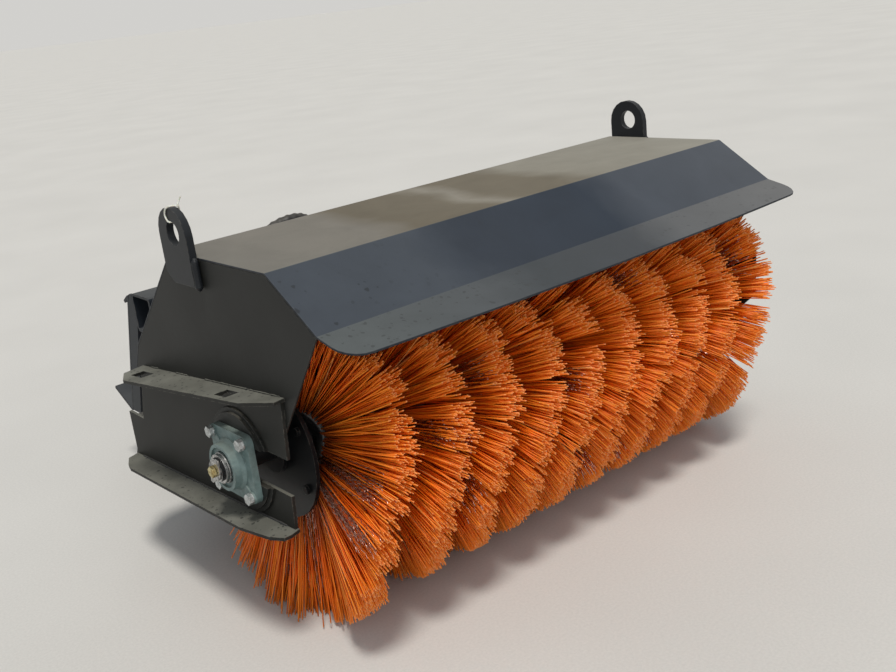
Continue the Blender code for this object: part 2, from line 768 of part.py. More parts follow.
def make_couplers():
    plate = archAlong + archRadius + 0.050
    foot = archAlong + archRadius
    slope = Vector((0.0, slopeEndY - topBack, slopeEndZ - topZ)).normalized()
    x = archX - archRadius
    for index, lift in enumerate(hoseLift):
        start = (x, *on_slope(foot, lift))
        profile = [(0.0, 0.0007), (0.0150, 0.0007), (0.0150, 0.022), (0.0145, 0.022, "hex")]
        profile += [(0.0145, 0.0485, "hex"), (0.0130, 0.0485), (0.0130, 0.058), (0.0155, 0.058)]
        profile += [(0.0155, 0.085), (0.0125, 0.092), (0.0, 0.092)]
        node("coupler_%d" % (index + 1), turned(profile, start, slope, 12), "bright_steel", "deck")
    outline = []
    for along, lift in ((plate, touch), (plate + 0.046, touch), (plate + 0.046, 0.0055)):
        outline.append(on_slope(along, lift))
    for along, lift in ((plate + 0.0060, 0.0055), (plate + 0.0060, 0.100), (plate, 0.100)):
        outline.append(on_slope(along, lift))
    holder = node("coupler_plate", prism("x", outline, x - 0.030, x + 0.030), "black_paint", "deck")
    for lift in hoseLift:
        cut(holder, rod_shape((x, *on_slope(plate, lift)), slope, 0.0134, -0.02, 0.03, 16))


def make_beam():
    corner = 0.010
    outline = rounded_box((beamFront, beamBack), (beamFoot, beamTop), corner)
    bore = rounded_box((beamFront + beamWall, beamBack - beamWall), (beamFoot + beamWall, beamTop - beamWall), 0.004)
    beam = node("rear_beam", prism("x", outline, -hoodHalf, hoodHalf), "black_paint", "deck")
    cut(beam, prism("x", bore, -hoodHalf - 0.05, hoodHalf + 0.05))
    low, high = beamFoot - forkGap + 0.001, beamTop + forkGap - 0.001
    hub = node("pivot_hub", rod_shape((0.0, pivotY, 0.0), (0, 0, 1), hubRadius, low, high, 28), "black_paint", "deck")
    join(hub, box((-hubRadius + 0.0005, hubRadius - 0.0005), (beamBack + touch, pivotY), (low + 0.002, high - 0.002)))
    cut(hub, rod_shape((0.0, pivotY, 0.0), (0, 0, 1), pivotPin + runFit, low - 0.02, high + 0.02, 24))


def rounded_box(ys, zs, corner):
    outline = []
    spots = ((ys[1], zs[1], -1, -1), (ys[0], zs[1], 1, -1), (ys[0], zs[0], 1, 1), (ys[1], zs[0], -1, 1))
    for index, (y, z, a, b) in enumerate(spots):
        middle = (y + a * corner, z + b * corner)
        for degrees in (0.0, 45.0, 90.0):
            outline.append(polar(middle, corner, index * 90.0 + degrees))
    return outline


def plate_front(z):
    """Y of the quick-attach plate's front face at a height."""
    return plateTopY + (plateTopZ - z) * (plateFootY - plateTopY) / (plateTopZ - plateFootZ)


def make_plate():
    line = [(hookY, hookZ), (plateTopY, plateTopZ), (plateFootY, plateFootZ), (ledgeY, ledgeZ)]
    outer = rounded(line, 0.012, 2)
    inner = shifted_line(outer, -plateThick)
    inner[1:4] = [shifted_line(line, -plateThick)[1]]
    plate = node("qa_plate", prism("x", outer + inner[::-1], -plateHalf, plateHalf), "black_paint", "hitch")
    for side in (-1, 1):
        cut(plate, box((side * 0.40 - 0.032, side * 0.40 + 0.032), (1.385, 1.420), (0.15, 0.33)))
    for name, side in (("side_post_left", -1), ("side_post_right", 1)):
        depth = 0.056
        back = tubeBack + touch
        high, low = plateTopZ - 0.006, plateFootZ + 0.008
        notch = plateTopZ - (back + depth - plateTopY) * (plateTopZ - plateFootZ) / (plateFootY - plateTopY)
        outline = [(back, high), (plate_front(high) - touch, high), (plate_front(low) - touch, low)]
        outline += [(plate_front(low) - depth, low), (back, notch)]
        xs = sorted((side * plateHalf, side * (plateHalf - 0.010)))
        node(name, prism("x", outline, *xs), "black_paint", "hitch")


def make_tube():
    outline = rounded_box((tubeFront, tubeBack), (tubeFoot, tubeTop), 0.014)
    bore = rounded_box((tubeFront + tubeWall, tubeBack - tubeWall), (tubeFoot + tubeWall, tubeTop - tubeWall), 0.006)
    tube = node("cross_tube", prism("x", outline, -plateHalf, plateHalf), "black_paint", "hitch")
    cut(tube, prism("x", bore, -plateHalf - 0.05, plateHalf + 0.05))
    hole = sleeveHalf + touch
    for side in (-1, 1):
        xs = (side * standX - hole, side * standX + hole)
        cut(tube, box(xs, (standY - hole, standY + hole), (tubeFoot - 0.05, tubeTop + 0.05)))


def square(center, half):
    x, y = center
    return [(x - half, y - half), (x + half, y - half), (x + half, y + half), (x - half, y + half)]


def make_stands():
    for word, side in (("left", -1), ("right", 1)):
        center = (side * standX, standY)
        shape = prism("z", square(center, sleeveHalf), sleeveFoot, sleeveTop)
        sleeve = node("stand_sleeve_" + word, shape, "black_paint", "hitch")
        high = sleeveTop - 0.026
        spot = (center[0], standY - sleeveHalf, high)
        join(sleeve, hex_shape(spot, (0, 1, 0), 0.0105, -0.010, 0.002))
        inside = sleeveHalf - sleeveWall
        cut(sleeve, prism("z", square(center, inside), sleeveFoot - 0.05, sleeveTop + 0.05))
        cut(sleeve, rod_shape(spot, (0, 1, 0), 0.0055, -0.03, 0.012, 12))
        tip = sleeveHalf - legHalf - touch
        screw = node("stand_screw_" + word, rod_shape(spot, (0, 1, 0), 0.0050, -0.042, tip, 12), "zinc", "hitch")
        join(screw, rod_shape((center[0], spot[1] - 0.034, high), (1, 0, 0), 0.0045, -0.036, 0.036, 10))
        leg = node("stand_leg_" + word, prism("z", square(center, legHalf), 0.004, legTop), "black_paint",
                   "stand_" + word)
        join(leg, prism("z", square(center, footHalf), 0.0, 0.008))
        cut(leg, prism("z", square(center, legHalf - legWall), 0.020, legTop + 0.05))


def fork_outline(rear, wide):
    outline = []
    for index in range(11):
        outline.append(polar((0.0, pivotY), forkNose, 180.0 + 18.0 * index))
    outline += [(forkNose, 1.060), (wide, 1.180), (wide, rear), (-wide, rear), (-wide, 1.180), (-forkNose, 1.060)]
    return outline


def make_forks():
    high = forkTop
    lowTop = beamFoot - forkGap
    low = lowTop - forkThick
    rear = plate_front(high) - touch
    upper = node("fork_upper", prism("z", fork_outline(rear, 0.200), forkBase, high), "black_paint", "hitch")
    rear = plate_front(lowTop) - touch
    lower = node("fork_lower", prism("z", fork_outline(rear, 0.200), low, lowTop), "black_paint", "hitch")
    for fork, z in ((upper, high), (lower, low)):
        cut(fork, rod_shape((0.0, pivotY, z), (0, 0, 1), pivotPin + runFit, -0.05, 0.05, 24))
    cut(upper, rod_shape((*rodPin, high), (0, 0, 1), pinRadius + runFit, -0.05, 0.05, 16))
    top = tubeFoot - touch
    base = high + touch
    outline = [(1.000, base), (plate_front(base) - touch, base), (plate_front(top) - touch, top), (1.046, top)]
    node("fork_gusset", prism("x", outline, -0.006, 0.006), "black_paint", "hitch")
    profile = [(0.0, low - 0.014), (pivotPin, low - 0.014), (pivotPin, low - 0.010), (0.027, low - 0.010)]
    profile += [(0.027, low - touch), (pivotPin, low - touch), (pivotPin, high + touch), (0.034, high + touch)]
    profile += [(0.034, high + 0.010), (0.030, high + 0.013), (0.0, high + 0.013)]
    node("pivot_pin", turned(profile, (0.0, pivotY, 0.0), (0, 0, 1), 24), "zinc", "hitch")


def pin_profile(low, seat):
    return [(0.0, low), (pinRadius, low), (pinRadius, seat), (0.019, seat), (0.019, seat + 0.008), (0.0, seat + 0.008)]


def nose_outline(pin, radius, edge):
    """Plate round a pin, drawn out to a straight edge at a value of y."""
    outline = []
    sweep = 0.0 if edge < pin[1] else 180.0
    for index in range(9):
        outline.append(polar(pin, radius, sweep + 180.0 * index / 8))
    outline += [(outline[-1][0], edge), (outline[0][0], edge)]
    return outline


def make_cylinder_mounts():
    low, high = cylinderZ - eyeHalf - eyeGap, cylinderZ + eyeHalf + eyeGap
    thick = clevisThick
    edge = beamFront + touch
    shape = prism("z", nose_outline(barrelPin, 0.032, edge), beamTop + touch, low)
    mount = node("barrel_bracket", shape, "black_paint", "deck")
    xs = (barrelPin[0] - 0.032, barrelPin[0] + 0.032)
    join(mount, prism("z", nose_outline(barrelPin, 0.032, edge), high, high + thick))
    join(mount, box((xs[0] + 0.0004, xs[1] - 0.0004), (edge + 0.0003, edge + 0.0088), (low - 0.008, high + 0.008)))
    cut(mount, rod_shape((*barrelPin, low), (0, 0, 1), pinRadius + runFit, -0.06, 0.14, 16))
    pin = turned(pin_profile(beamTop + 0.002, high + thick + touch), (*barrelPin, 0.0), (0, 0, 1), 16)
    node("barrel_pin", pin, "zinc", "deck")
    back = plate_front(high + thick) - touch
    xs = (rodPin[0] - 0.032, rodPin[0] + 0.032)
    shape = prism("z", nose_outline(rodPin, 0.032, back), high, high + thick)
    mount = node("rod_bracket", shape, "black_paint", "hitch")
    join(mount, box((xs[0] + 0.0004, xs[1] - 0.0004), (back - 0.0115, back - 0.0003), (forkTop + touch, high + 0.008)))
    cut(mount, rod_shape((*rodPin, high), (0, 0, 1), pinRadius + runFit, -0.05, 0.05, 16))
    pin = turned(pin_profile(forkBase - 0.0075, high + thick + touch), (*rodPin, 0.0), (0, 0, 1), 16)
    node("rod_pin", pin, "zinc", "hitch")


def make_cylinder():
    run = Vector((rodPin[0] - barrelPin[0], rodPin[1] - barrelPin[1], 0.0))
    rest = run.length
    way = run.normalized()
    start = (*barrelPin, cylinderZ)
    shut = 2.0 * pinReach * math.sin(math.radians((90.0 - swingLimit) / 2.0))
    floor = shut - rodLength - rodPlay
    lip = shut - eyeRadius - 0.012
    profile = [(0.0, 0.012), (0.021, 0.012), (barrelRadius, 0.031), (barrelRadius, lip - 0.026)]
    profile += [(0.033, lip - 0.026), (0.033, lip), (rodRadius + runFit, lip), (rodRadius + runFit, lip - 0.030)]
    profile += [(boreRadius, lip - 0.030), (boreRadius, floor), (0.0, floor)]
    barrel = node("barrel", turned(profile, start, way, 24), "black_paint", "barrel")
    join(barrel, rod_shape((*barrelPin, cylinderZ), (0, 0, 1), eyeRadius, -eyeHalf, eyeHalf, 24))
    for along in (floor + 0.014, lip - 0.045):
        spot = Vector(start) + way * along
        join(barrel, hex_shape(spot, (0, 0, 1), 0.0095, 0.0275, 0.0385))
    cut(barrel, rod_shape(start, (0, 0, 1), pinRadius + runFit, -0.06, 0.06, 16))
    inner = rest - rodLength
    piston = boreRadius - runFit
    profile = [(0.0, inner), (piston, inner), (piston, inner + 0.020), (rodRadius, inner + 0.020)]
    profile += [(rodRadius, rest - 0.014), (0.0, rest - 0.014)]
    rod = node("rod", turned(profile, start, way, 24), "bright_steel", "rod")
    end = (*rodPin, cylinderZ)
    join(rod, rod_shape(end, (0, 0, 1), eyeRadius, -eyeHalf, eyeHalf, 24))
    cut(rod, rod_shape(end, (0, 0, 1), pinRadius + runFit, -0.06, 0.06, 16))


def make_tie():
    """Tie looped through the lug's hole and over its top, with its tail sticking up."""
    middle = -(hoodHalf + touch + lugThick / 2.0)
    half = lugThick / 2.0 + 0.0008
    low, high = lugHoleZ + lugHole - 0.0024, lugTop + 0.0008
    band = 0.0016
    y = 0.335
    outer = [(middle - half - band, low - band), (middle + half + band, low - band)]
    outer += [(middle + half + band, high + band), (middle - half - band, high + band)]
    tie = node("cable_tie", prism("y", outer, y - 0.0035, y + 0.0035), "white_tie", "deck")
    inner = [(middle - half, low), (middle + half, low), (middle + half, high), (middle - half, high)]
    cut(tie, prism("y", inner, y - 0.02, y + 0.02))
    join(tie, box((middle - 0.004, middle + 0.004), (y - 0.0055, y + 0.0045), (high + 0.0008, high + 0.0075)))
    shape = bmesh.new()
    ring = []
    for along, z in ((y - 0.002, high + 0.0045), (0.316, lugTop + 0.017), (0.298, lugTop + 0.023)):
        for x, lift in ((-0.002, -0.0008), (0.002, -0.0008), (0.002, 0.0008), (-0.002, 0.0008)):
            ring.append(shape.verts.new((middle + x, along, z + lift)))
    shape.faces.new(ring[0:4])
    shape.faces.new(ring[8:12])
    for start in (0, 4):
        for here in range(4):
            there = (here + 1) % 4
            near, far = start, start + 4
            shape.faces.new((ring[near + here], ring[near + there], ring[far + there], ring[far + here]))
    join(tie, shape)


def world_bounds():
    """Bounds of every named piece as it is finally built."""
    graph = bpy.context.evaluated_depsgraph_get()
    low = [1e9] * 3
    high = [-1e9] * 3
    for piece in nodes:
        done = piece.evaluated_get(graph)
        for corner in done.bound_box:
            for axis in range(3):
                value = corner[axis] + piece.location[axis]
                low[axis] = min(low[axis], value)
                high[axis] = max(high[axis], value)
    return low, high


def settle():
    """Put the middle of the whole object over the zero point and its foot on z = 0."""
    low, high = world_bounds()
    shift = Vector((-(low[0] + high[0]) / 2.0, -(low[1] + high[1]) / 2.0, -low[2]))
    for piece in nodes + helpers:
        piece.location = piece.location + shift
    print("size", [round(b - a, 5) for a, b in zip(low, high)])
    print("shift", [round(value, 5) for value in shift])
    for body, origin in bodyOrigin.items():
        print("origin of", body, [round(a + b, 5) for a, b in zip(origin, shift)])


def main():
    for old in list(bpy.data.objects):
        bpy.data.objects.remove(old)
    make_materials()
    make_hood()
    for word, side in (("left", -1), ("right", 1)):
        make_end_plate("end_plate_" + word, side)
        make_lug("lug_" + word, side)
        make_bracket("bracket_" + word, side)
    make_bearing()
    make_core()
    make_wafers()
    make_motor()
    make_hoses()
    make_couplers()
    make_beam()
    make_plate()
    make_tube()
    make_stands()
    make_forks()
    make_cylinder_mounts()
    make_cylinder()
    make_tie()
    settle()
    print("pieces", len(nodes))


main()
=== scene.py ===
import math

import bmesh
import bpy
import numpy as np
from mathutils import Matrix, Vector


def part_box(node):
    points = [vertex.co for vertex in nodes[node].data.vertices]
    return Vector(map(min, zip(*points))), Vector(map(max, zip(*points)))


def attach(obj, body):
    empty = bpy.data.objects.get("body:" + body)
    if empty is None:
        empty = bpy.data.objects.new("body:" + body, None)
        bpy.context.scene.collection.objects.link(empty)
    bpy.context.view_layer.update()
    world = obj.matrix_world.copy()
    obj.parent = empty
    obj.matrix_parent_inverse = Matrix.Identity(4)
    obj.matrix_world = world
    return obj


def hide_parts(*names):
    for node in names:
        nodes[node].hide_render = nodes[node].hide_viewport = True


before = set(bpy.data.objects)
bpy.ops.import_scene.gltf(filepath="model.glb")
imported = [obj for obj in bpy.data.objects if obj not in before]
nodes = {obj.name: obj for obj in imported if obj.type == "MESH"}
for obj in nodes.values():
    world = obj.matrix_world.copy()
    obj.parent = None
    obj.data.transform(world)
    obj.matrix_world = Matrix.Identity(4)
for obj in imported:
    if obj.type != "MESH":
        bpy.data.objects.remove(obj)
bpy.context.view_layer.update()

print("frame loaded:", len(nodes), "nodes")


# Places read from the frame

def middle(node):
    low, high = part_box(node)
    return (low + high) / 2


axis = middle("end_disc_left")  # the brush turns about a line along x through here
axisY, axisZ = axis.y, axis.z
centerX = (axis.x + middle("end_disc_right").x) / 2
shaftY = 0.215  # the brush axis in the part's own measures
shift = Vector((centerX, axisY - shaftY, 0.0))  # from the part's own measures to the frame's


# Camera, lights and floor

photoCamera = {
    "place": (-1.7590, -2.3080, 1.3596),
    "lens": 40.904,
    "sensor": 36.0,
    "yaw": 39.34,  # degrees from +y towards +x
    "pitch": 18.35,  # degrees down
    "roll": -6.64,
}


def makeCamera(look):
    yaw, pitch, roll = (math.radians(look[k]) for k in ("yaw", "pitch", "roll"))
    ahead = Vector((math.sin(yaw) * math.cos(pitch), math.cos(yaw) * math.cos(pitch), -math.sin(pitch)))
    right = Vector((math.cos(yaw), -math.sin(yaw), 0.0))
    up = right.cross(ahead)
    rightTurned = right * math.cos(roll) + up * math.sin(roll)
    upTurned = up * math.cos(roll) - right * math.sin(roll)
    data = bpy.data.cameras.new("photoCamera")
    data.lens = look["lens"]
    data.sensor_width = look["sensor"]
    camera = bpy.data.objects.new("photoCamera", data)
    turn = Matrix((rightTurned, upTurned, -ahead)).transposed()
    camera.matrix_world = Matrix.Translation(look["place"]) @ turn.to_4x4()
    bpy.context.scene.collection.objects.link(camera)
    bpy.context.scene.camera = camera


lamps = {  # from: where the light comes from; spread in degrees, for soft shadow edges
    "highLamp": {"from": (-0.18, -0.36, 1.0), "spread": 12.0, "power": 1.95, "tint": (1.0, 0.965, 0.91)},
    "frontFill": {"from": (-0.35, -1.0, 0.42), "spread": 75.0, "power": 0.75, "tint": (1.0, 0.985, 0.96)},
}


def makeLamp(name):
    lamp = lamps[name]
    data = bpy.data.lights.new(name, "SUN")
    data.angle = math.radians(lamp["spread"])
    data.energy = lamp["power"]
    data.color = lamp["tint"]
    piece = bpy.data.objects.new(name, data)
    piece.rotation_euler = Vector(lamp["from"]).to_track_quat("Z", "Y").to_euler()
    bpy.context.scene.collection.objects.link(piece)


stageLook = {
    "floor": (0.640, 0.628, 0.600), "floorSize": 900.0, "floorRough": 0.95, "floorShine": 0.1,
    "speckScale": 150.0, "speck": (0.955, 1.045),  # darkest and lightest share of the floor's colour
    "cloudScale": 1.1, "cloud": (0.97, 1.03),
    "sky": (0.90, 0.95, 1.0), "skyPower": 0.38, "backdrop": (0.640, 0.632, 0.612),
}


def makeFloor():
    look = stageLook
    half = look["floorSize"] / 2
    corners = [(-half, -half, 0), (half, -half, 0), (half, half, 0), (-half, half, 0)]
    material, tree, surface = newMaterial("paleFloor")
    where = coordinates(tree)["Object"]
    speck = spread(tree, noise(tree, where, look["speckScale"], 3.0, 0.6), 0.3, 0.7, *look["speck"])
    cloud = spread(tree, noise(tree, where, look["cloudScale"], 4.0), 0.3, 0.7, *look["cloud"])
    color = scaleBy(tree, look["floor"], times(tree, speck, cloud))
    tree.links.new(color, surface.inputs["Base Color"])
    surface.inputs["Roughness"].default_value = look["floorRough"]
    surface.inputs["Specular IOR Level"].default_value = look["floorShine"]
    floor = newPiece("floor", corners, [(0, 1, 2, 3)], material)


def makeWorld():
    look = stageLook
    world = bpy.data.worlds.new("studio")
    bpy.context.scene.world = world
    world.use_nodes = True
    tree = world.node_tree
    tree.nodes.clear()
    ray = place(tree, "ShaderNodeLightPath").outputs
    seen = calc(tree, "MAXIMUM", ray["Is Camera Ray"], ray["Is Glossy Ray"])
    seen = calc(tree, "MAXIMUM", seen, ray["Is Transmission Ray"])
    light = place(tree, "ShaderNodeBackground", {0: (*look["sky"], 1), 1: look["skyPower"]})
    shown = place(tree, "ShaderNodeBackground", {0: (*look["backdrop"], 1), 1: 1.0})
    mix = place(tree, "ShaderNodeMixShader", {0: seen, 1: light.outputs[0], 2: shown.outputs[0]})
    place(tree, "ShaderNodeOutputWorld", {0: mix.outputs[0]})
    bpy.context.scene.view_settings.view_transform = "Standard"


# Node helpers

def place(tree, kind, values=None, **settings):
    made = tree.nodes.new(kind)
    for name, value in settings.items():
        setattr(made, name, value)
    for key, value in (values or {}).items():
        if isinstance(value, bpy.types.NodeSocket):
            tree.links.new(value, made.inputs[key])
        else:
            made.inputs[key].default_value = value
    return made


def coordinates(tree):
    return place(tree, "ShaderNodeTexCoord").outputs


def calc(tree, operation, first, second=0.0):
    return place(tree, "ShaderNodeMath", {0: first, 1: second}, operation=operation).outputs[0]


def times(tree, first, second):
    return calc(tree, "MULTIPLY", first, second)


def spread(tree, value, low, high, toLow=0.0, toHigh=1.0, smooth=False):
    values = {0: value, 1: low, 2: high, 3: toLow, 4: toHigh}
    return place(tree, "ShaderNodeMapRange", values,
                 interpolation_type="SMOOTHSTEP" if smooth else "LINEAR").outputs[0]


def noise(tree, where, scale, detail=2.0, rough=0.5, distortion=0.0):
    values = {"Vector": where, "Scale": scale, "Detail": detail, "Roughness": rough, "Distortion": distortion}
    return place(tree, "ShaderNodeTexNoise", values).outputs[0]


def mixColor(tree, mask, first, second):
    return place(tree, "ShaderNodeMix", {0: mask, 6: first, 7: second}, data_type="RGBA").outputs[2]


def scaleBy(tree, vector, factor):
    return place(tree, "ShaderNodeVectorMath", {0: vector, "Scale": factor}, operation="SCALE").outputs[0]


def finishSurface(tree, surface, color, rough, height, bump, shine=0.5):
    strength, depth = bump
    relief = place(tree, "ShaderNodeBump", {"Strength": strength, "Distance": depth, "Height": height})
    for word, value in (("Base Color", color), ("Roughness", rough), ("Normal", relief.outputs[0])):
        tree.links.new(value, surface.inputs[word])
    surface.inputs["Specular IOR Level"].default_value = shine


def ramp(tree, value, stops):  # colours placed along a value that runs from 0 to 1
    made = place(tree, "ShaderNodeValToRGB", {0: value})
    elements = made.color_ramp.elements
    while len(elements) < len(stops):
        elements.new(1.0)
    for element, (position, color) in zip(elements, stops):
        element.position = position
        element.color = color
    return made.outputs[0]


def tone(red, green, blue):  # 8-bit screen colour to a linear one
    return tuple((c / 255 / 12.92) if c < 10.3 else ((c / 255 + 0.055) / 1.055) ** 2.4
                 for c in (red, green, blue)) + (1.0,)


def newMaterial(name):
    material = bpy.data.materials.new(name)
    material.use_nodes = True
    tree = material.node_tree
    return material, tree, tree.nodes["Principled BSDF"]


def newGroup(name, inputs, outputs):
    group = bpy.data.node_groups.new(name, "ShaderNodeTree")
    for word, value in inputs.items():
        socket = group.interface.new_socket(word, in_out="INPUT", socket_type="NodeSocketFloat")
        socket.default_value = value
    for word in outputs:
        group.interface.new_socket(word, in_out="OUTPUT", socket_type="NodeSocketFloat")
    start = group.nodes.new("NodeGroupInput").outputs
    end = group.nodes.new("NodeGroupOutput").inputs
    return group, start, end


def newPiece(name, points, faces, material):
    mesh = bpy.data.meshes.new(name)
    mesh.from_pydata(points, [], faces)
    mesh.materials.append(material)
    piece = bpy.data.objects.new(name, mesh)
    bpy.context.scene.collection.objects.link(piece)
    return piece


# Effects that several finishes share

def makeSettledDust():  # lies on faces that look up, in patches
    inputs = {"Flat From": 0.5, "Flat To": 0.98, "Patch": 3.0, "Depth": 0.5}
    group, start, end = newGroup("settledDust", inputs, ["Mask", "Grit"])
    where = coordinates(group)
    up = place(group, "ShaderNodeSeparateXYZ", {0: where["Normal"]}).outputs[2]
    flat = spread(group, up, start["Flat From"], start["Flat To"], smooth=True)
    cloud = noise(group, where["Object"], start["Patch"], 5.0, 0.6, 0.4)
    cloud = spread(group, cloud, 0.30, 0.68, smooth=True)
    cloud = calc(group, "SUBTRACT", 1.0, times(group, cloud, start["Depth"]))
    grit = noise(group, where["Object"], 900.0, 2.0, 0.6)
    mask = times(group, flat, cloud)
    mask = times(group, mask, spread(group, grit, 0.2, 0.7, 0.78, 1.0))
    group.links.new(mask, end["Mask"])
    group.links.new(grit, end["Grit"])
    return group


def makeEdgeWear():  # found where a rounded normal leaves the flat one
    group, start, end = newGroup("edgeWear", {"Width": 0.003, "Amount": 0.5}, ["Mask"])
    where = coordinates(group)["Object"]
    soft = place(group, "ShaderNodeBevel", {"Radius": start["Width"]}, samples=6).outputs[0]
    sharp = place(group, "ShaderNodeNewGeometry").outputs["Normal"]
    meet = place(group, "ShaderNodeVectorMath", {0: soft, 1: sharp}, operation="DOT_PRODUCT").outputs["Value"]
    edge = spread(group, meet, 0.995, 0.86, smooth=True)
    chips = spread(group, noise(group, where, 70.0, 4.0, 0.65), 0.46, 0.60, smooth=True)
    mask = times(group, times(group, edge, chips), start["Amount"])
    group.links.new(mask, end["Mask"])
    return group


def makeDriedDrops():  # bent round spots, a share of the cells, thicker in some regions
    group, start, end = newGroup("driedDrops", {"Scale": 30.0, "Share": 0.3, "Cover": 0.0}, ["Mask"])
    where = coordinates(group)["Object"]
    wobble = place(group, "ShaderNodeTexNoise", {"Vector": where, "Scale": 60.0, "Detail": 1.0})
    moved = scaleBy(group, wobble.outputs["Color"], 0.012)
    bent = place(group, "ShaderNodeVectorMath", {0: where, 1: moved}, operation="ADD").outputs[0]
    cells = place(group, "ShaderNodeTexVoronoi", {"Vector": bent, "Scale": start["Scale"]}).outputs
    picked = place(group, "ShaderNodeSeparateXYZ", {0: cells["Color"]}).outputs
    size = spread(group, picked[0], 0.0, 1.0, 0.08, 0.34)
    drop = calc(group, "LESS_THAN", cells["Distance"], size)
    drop = times(group, drop, calc(group, "LESS_THAN", picked[1], start["Share"]))
    region = spread(group, noise(group, where, 4.5, 2.0), 0.48, 0.60, smooth=True)
    region = calc(group, "MAXIMUM", region, start["Cover"])
    group.links.new(times(group, drop, region), end["Mask"])
    return group


def makeSurfaceGrain():
    group, start, end = newGroup("surfaceGrain", {"Fine": 700.0, "Coarse": 60.0}, ["Height", "Tone"])
    where = coordinates(group)["Object"]
    fine = noise(group, where, start["Fine"], 2.0)
    coarse = noise(group, where, start["Coarse"], 4.0, 0.6)
    group.links.new(calc(group, "ADD", times(group, fine, 0.4), coarse), end["Height"])
    group.links.new(coarse, end["Tone"])
    return group


def makeTurnedLines():  # fine grooves round the x axis
    group, start, end = newGroup("turnedLines", {"Pitch": 900.0}, ["Height"])
    where = coordinates(group)["Object"]
    along = place(group, "ShaderNodeSeparateXYZ", {0: where}).outputs[0]
    line = place(group, "ShaderNodeCombineXYZ", {0: along}).outputs[0]
    group.links.new(noise(group, line, start["Pitch"], 2.0), end["Height"])
    return group


settledDust = makeSettledDust()
edgeWear = makeEdgeWear()
driedDrops = makeDriedDrops()
surfaceGrain = makeSurfaceGrain()
turnedLines = makeTurnedLines()


def useGroup(tree, group, **values):
    made = place(tree, "ShaderNodeGroup", node_tree=group)
    for name, value in values.items():
        made.inputs[name.replace("_", " ")].default_value = value
    return made.outputs


def layDust(tree, look):
    return useGroup(tree, settledDust, Flat_From=look["flatFrom"], Flat_To=look["flatTo"],
                    Patch=look["patch"], Depth=look["depth"])


# Finishes

paintLook = {  # what every paint shares
    "fine": 800.0, "coarse": 45.0, "wearWidth": 0.0035, "worn": tone(120, 117, 110),
    "dropTone": tone(38, 40, 42), "dropShare": 0.45, "dropClean": 0.75, "dustRough": 0.38, "grainRough": 0.06,
    "bump": (0.18, 0.0006),  # strength and depth
}
paints = {
    "panelPaint": {
        "coat": tone(29, 30, 29), "faded": tone(37, 38, 37),
        "dust": tone(108, 105, 96), "silt": tone(94, 90, 80),
        "flatFrom": 0.6, "flatTo": 0.98, "dustShare": 0.5, "patch": 4.0, "depth": 0.5, "film": 0.03,
        "drops": 0.0, "dropScale": 40.0, "cover": 0.0, "wear": 0.45, "rough": 0.46, "shine": 0.20,
    },
    "flangePaint": {
        "coat": tone(27, 28, 26), "faded": tone(35, 35, 33),
        "dust": tone(138, 138, 129), "silt": tone(122, 122, 113),
        "flatFrom": 0.5, "flatTo": 0.97, "dustShare": 0.92, "patch": 9.0, "depth": 0.35, "film": 0.03,
        "drops": 0.60, "dropScale": 85.0, "cover": 0.70, "wear": 0.55, "rough": 0.5, "shine": 0.20,
    },
    "framePaint": {
        "coat": tone(35, 37, 40), "faded": tone(46, 48, 50),
        "dust": tone(112, 109, 101), "silt": tone(90, 87, 80),
        "flatFrom": 0.5, "flatTo": 0.97, "dustShare": 0.6, "patch": 6.0, "depth": 0.55, "film": 0.04,
        "drops": 0.12, "dropScale": 60.0, "cover": 0.0, "wear": 0.6, "rough": 0.46, "shine": 0.28,
    },
    "hitchPaint": {
        # the blue tint in this dark coat is painted sky light, as it falls on faces in shade
        "coat": tone(29, 34, 40), "faded": tone(38, 43, 50),
        "dust": tone(104, 105, 104), "silt": tone(84, 86, 86),
        "flatFrom": 0.5, "flatTo": 0.98, "dustShare": 0.65, "patch": 5.0, "depth": 0.6, "film": 0.01,
        "drops": 0.2, "dropScale": 70.0, "cover": 0.0, "wear": 0.5, "rough": 0.44, "shine": 0.24,
    },
    "lugPaint": {
        "coat": tone(25, 28, 32), "faded": tone(33, 36, 40),
        "dust": tone(96, 98, 98), "silt": tone(78, 80, 80),
        "flatFrom": 0.5, "flatTo": 1.0, "dustShare": 0.35, "patch": 14.0, "depth": 0.6, "film": 0.02,
        "drops": 0.4, "dropScale": 120.0, "cover": 0.3, "wear": 0.55, "rough": 0.36, "shine": 0.22,
    },
    "hubPaint": {
        "coat": tone(12, 14, 17), "faded": tone(20, 22, 24),
        "dust": tone(66, 64, 60), "silt": tone(46, 44, 41),
        "flatFrom": 0.3, "flatTo": 1.0, "dustShare": 0.12, "patch": 9.0, "depth": 0.6, "film": 0.02,
        "drops": 0.0, "dropScale": 40.0, "cover": 0.0, "wear": 0.5, "rough": 0.36, "shine": 0.2,
    },
}


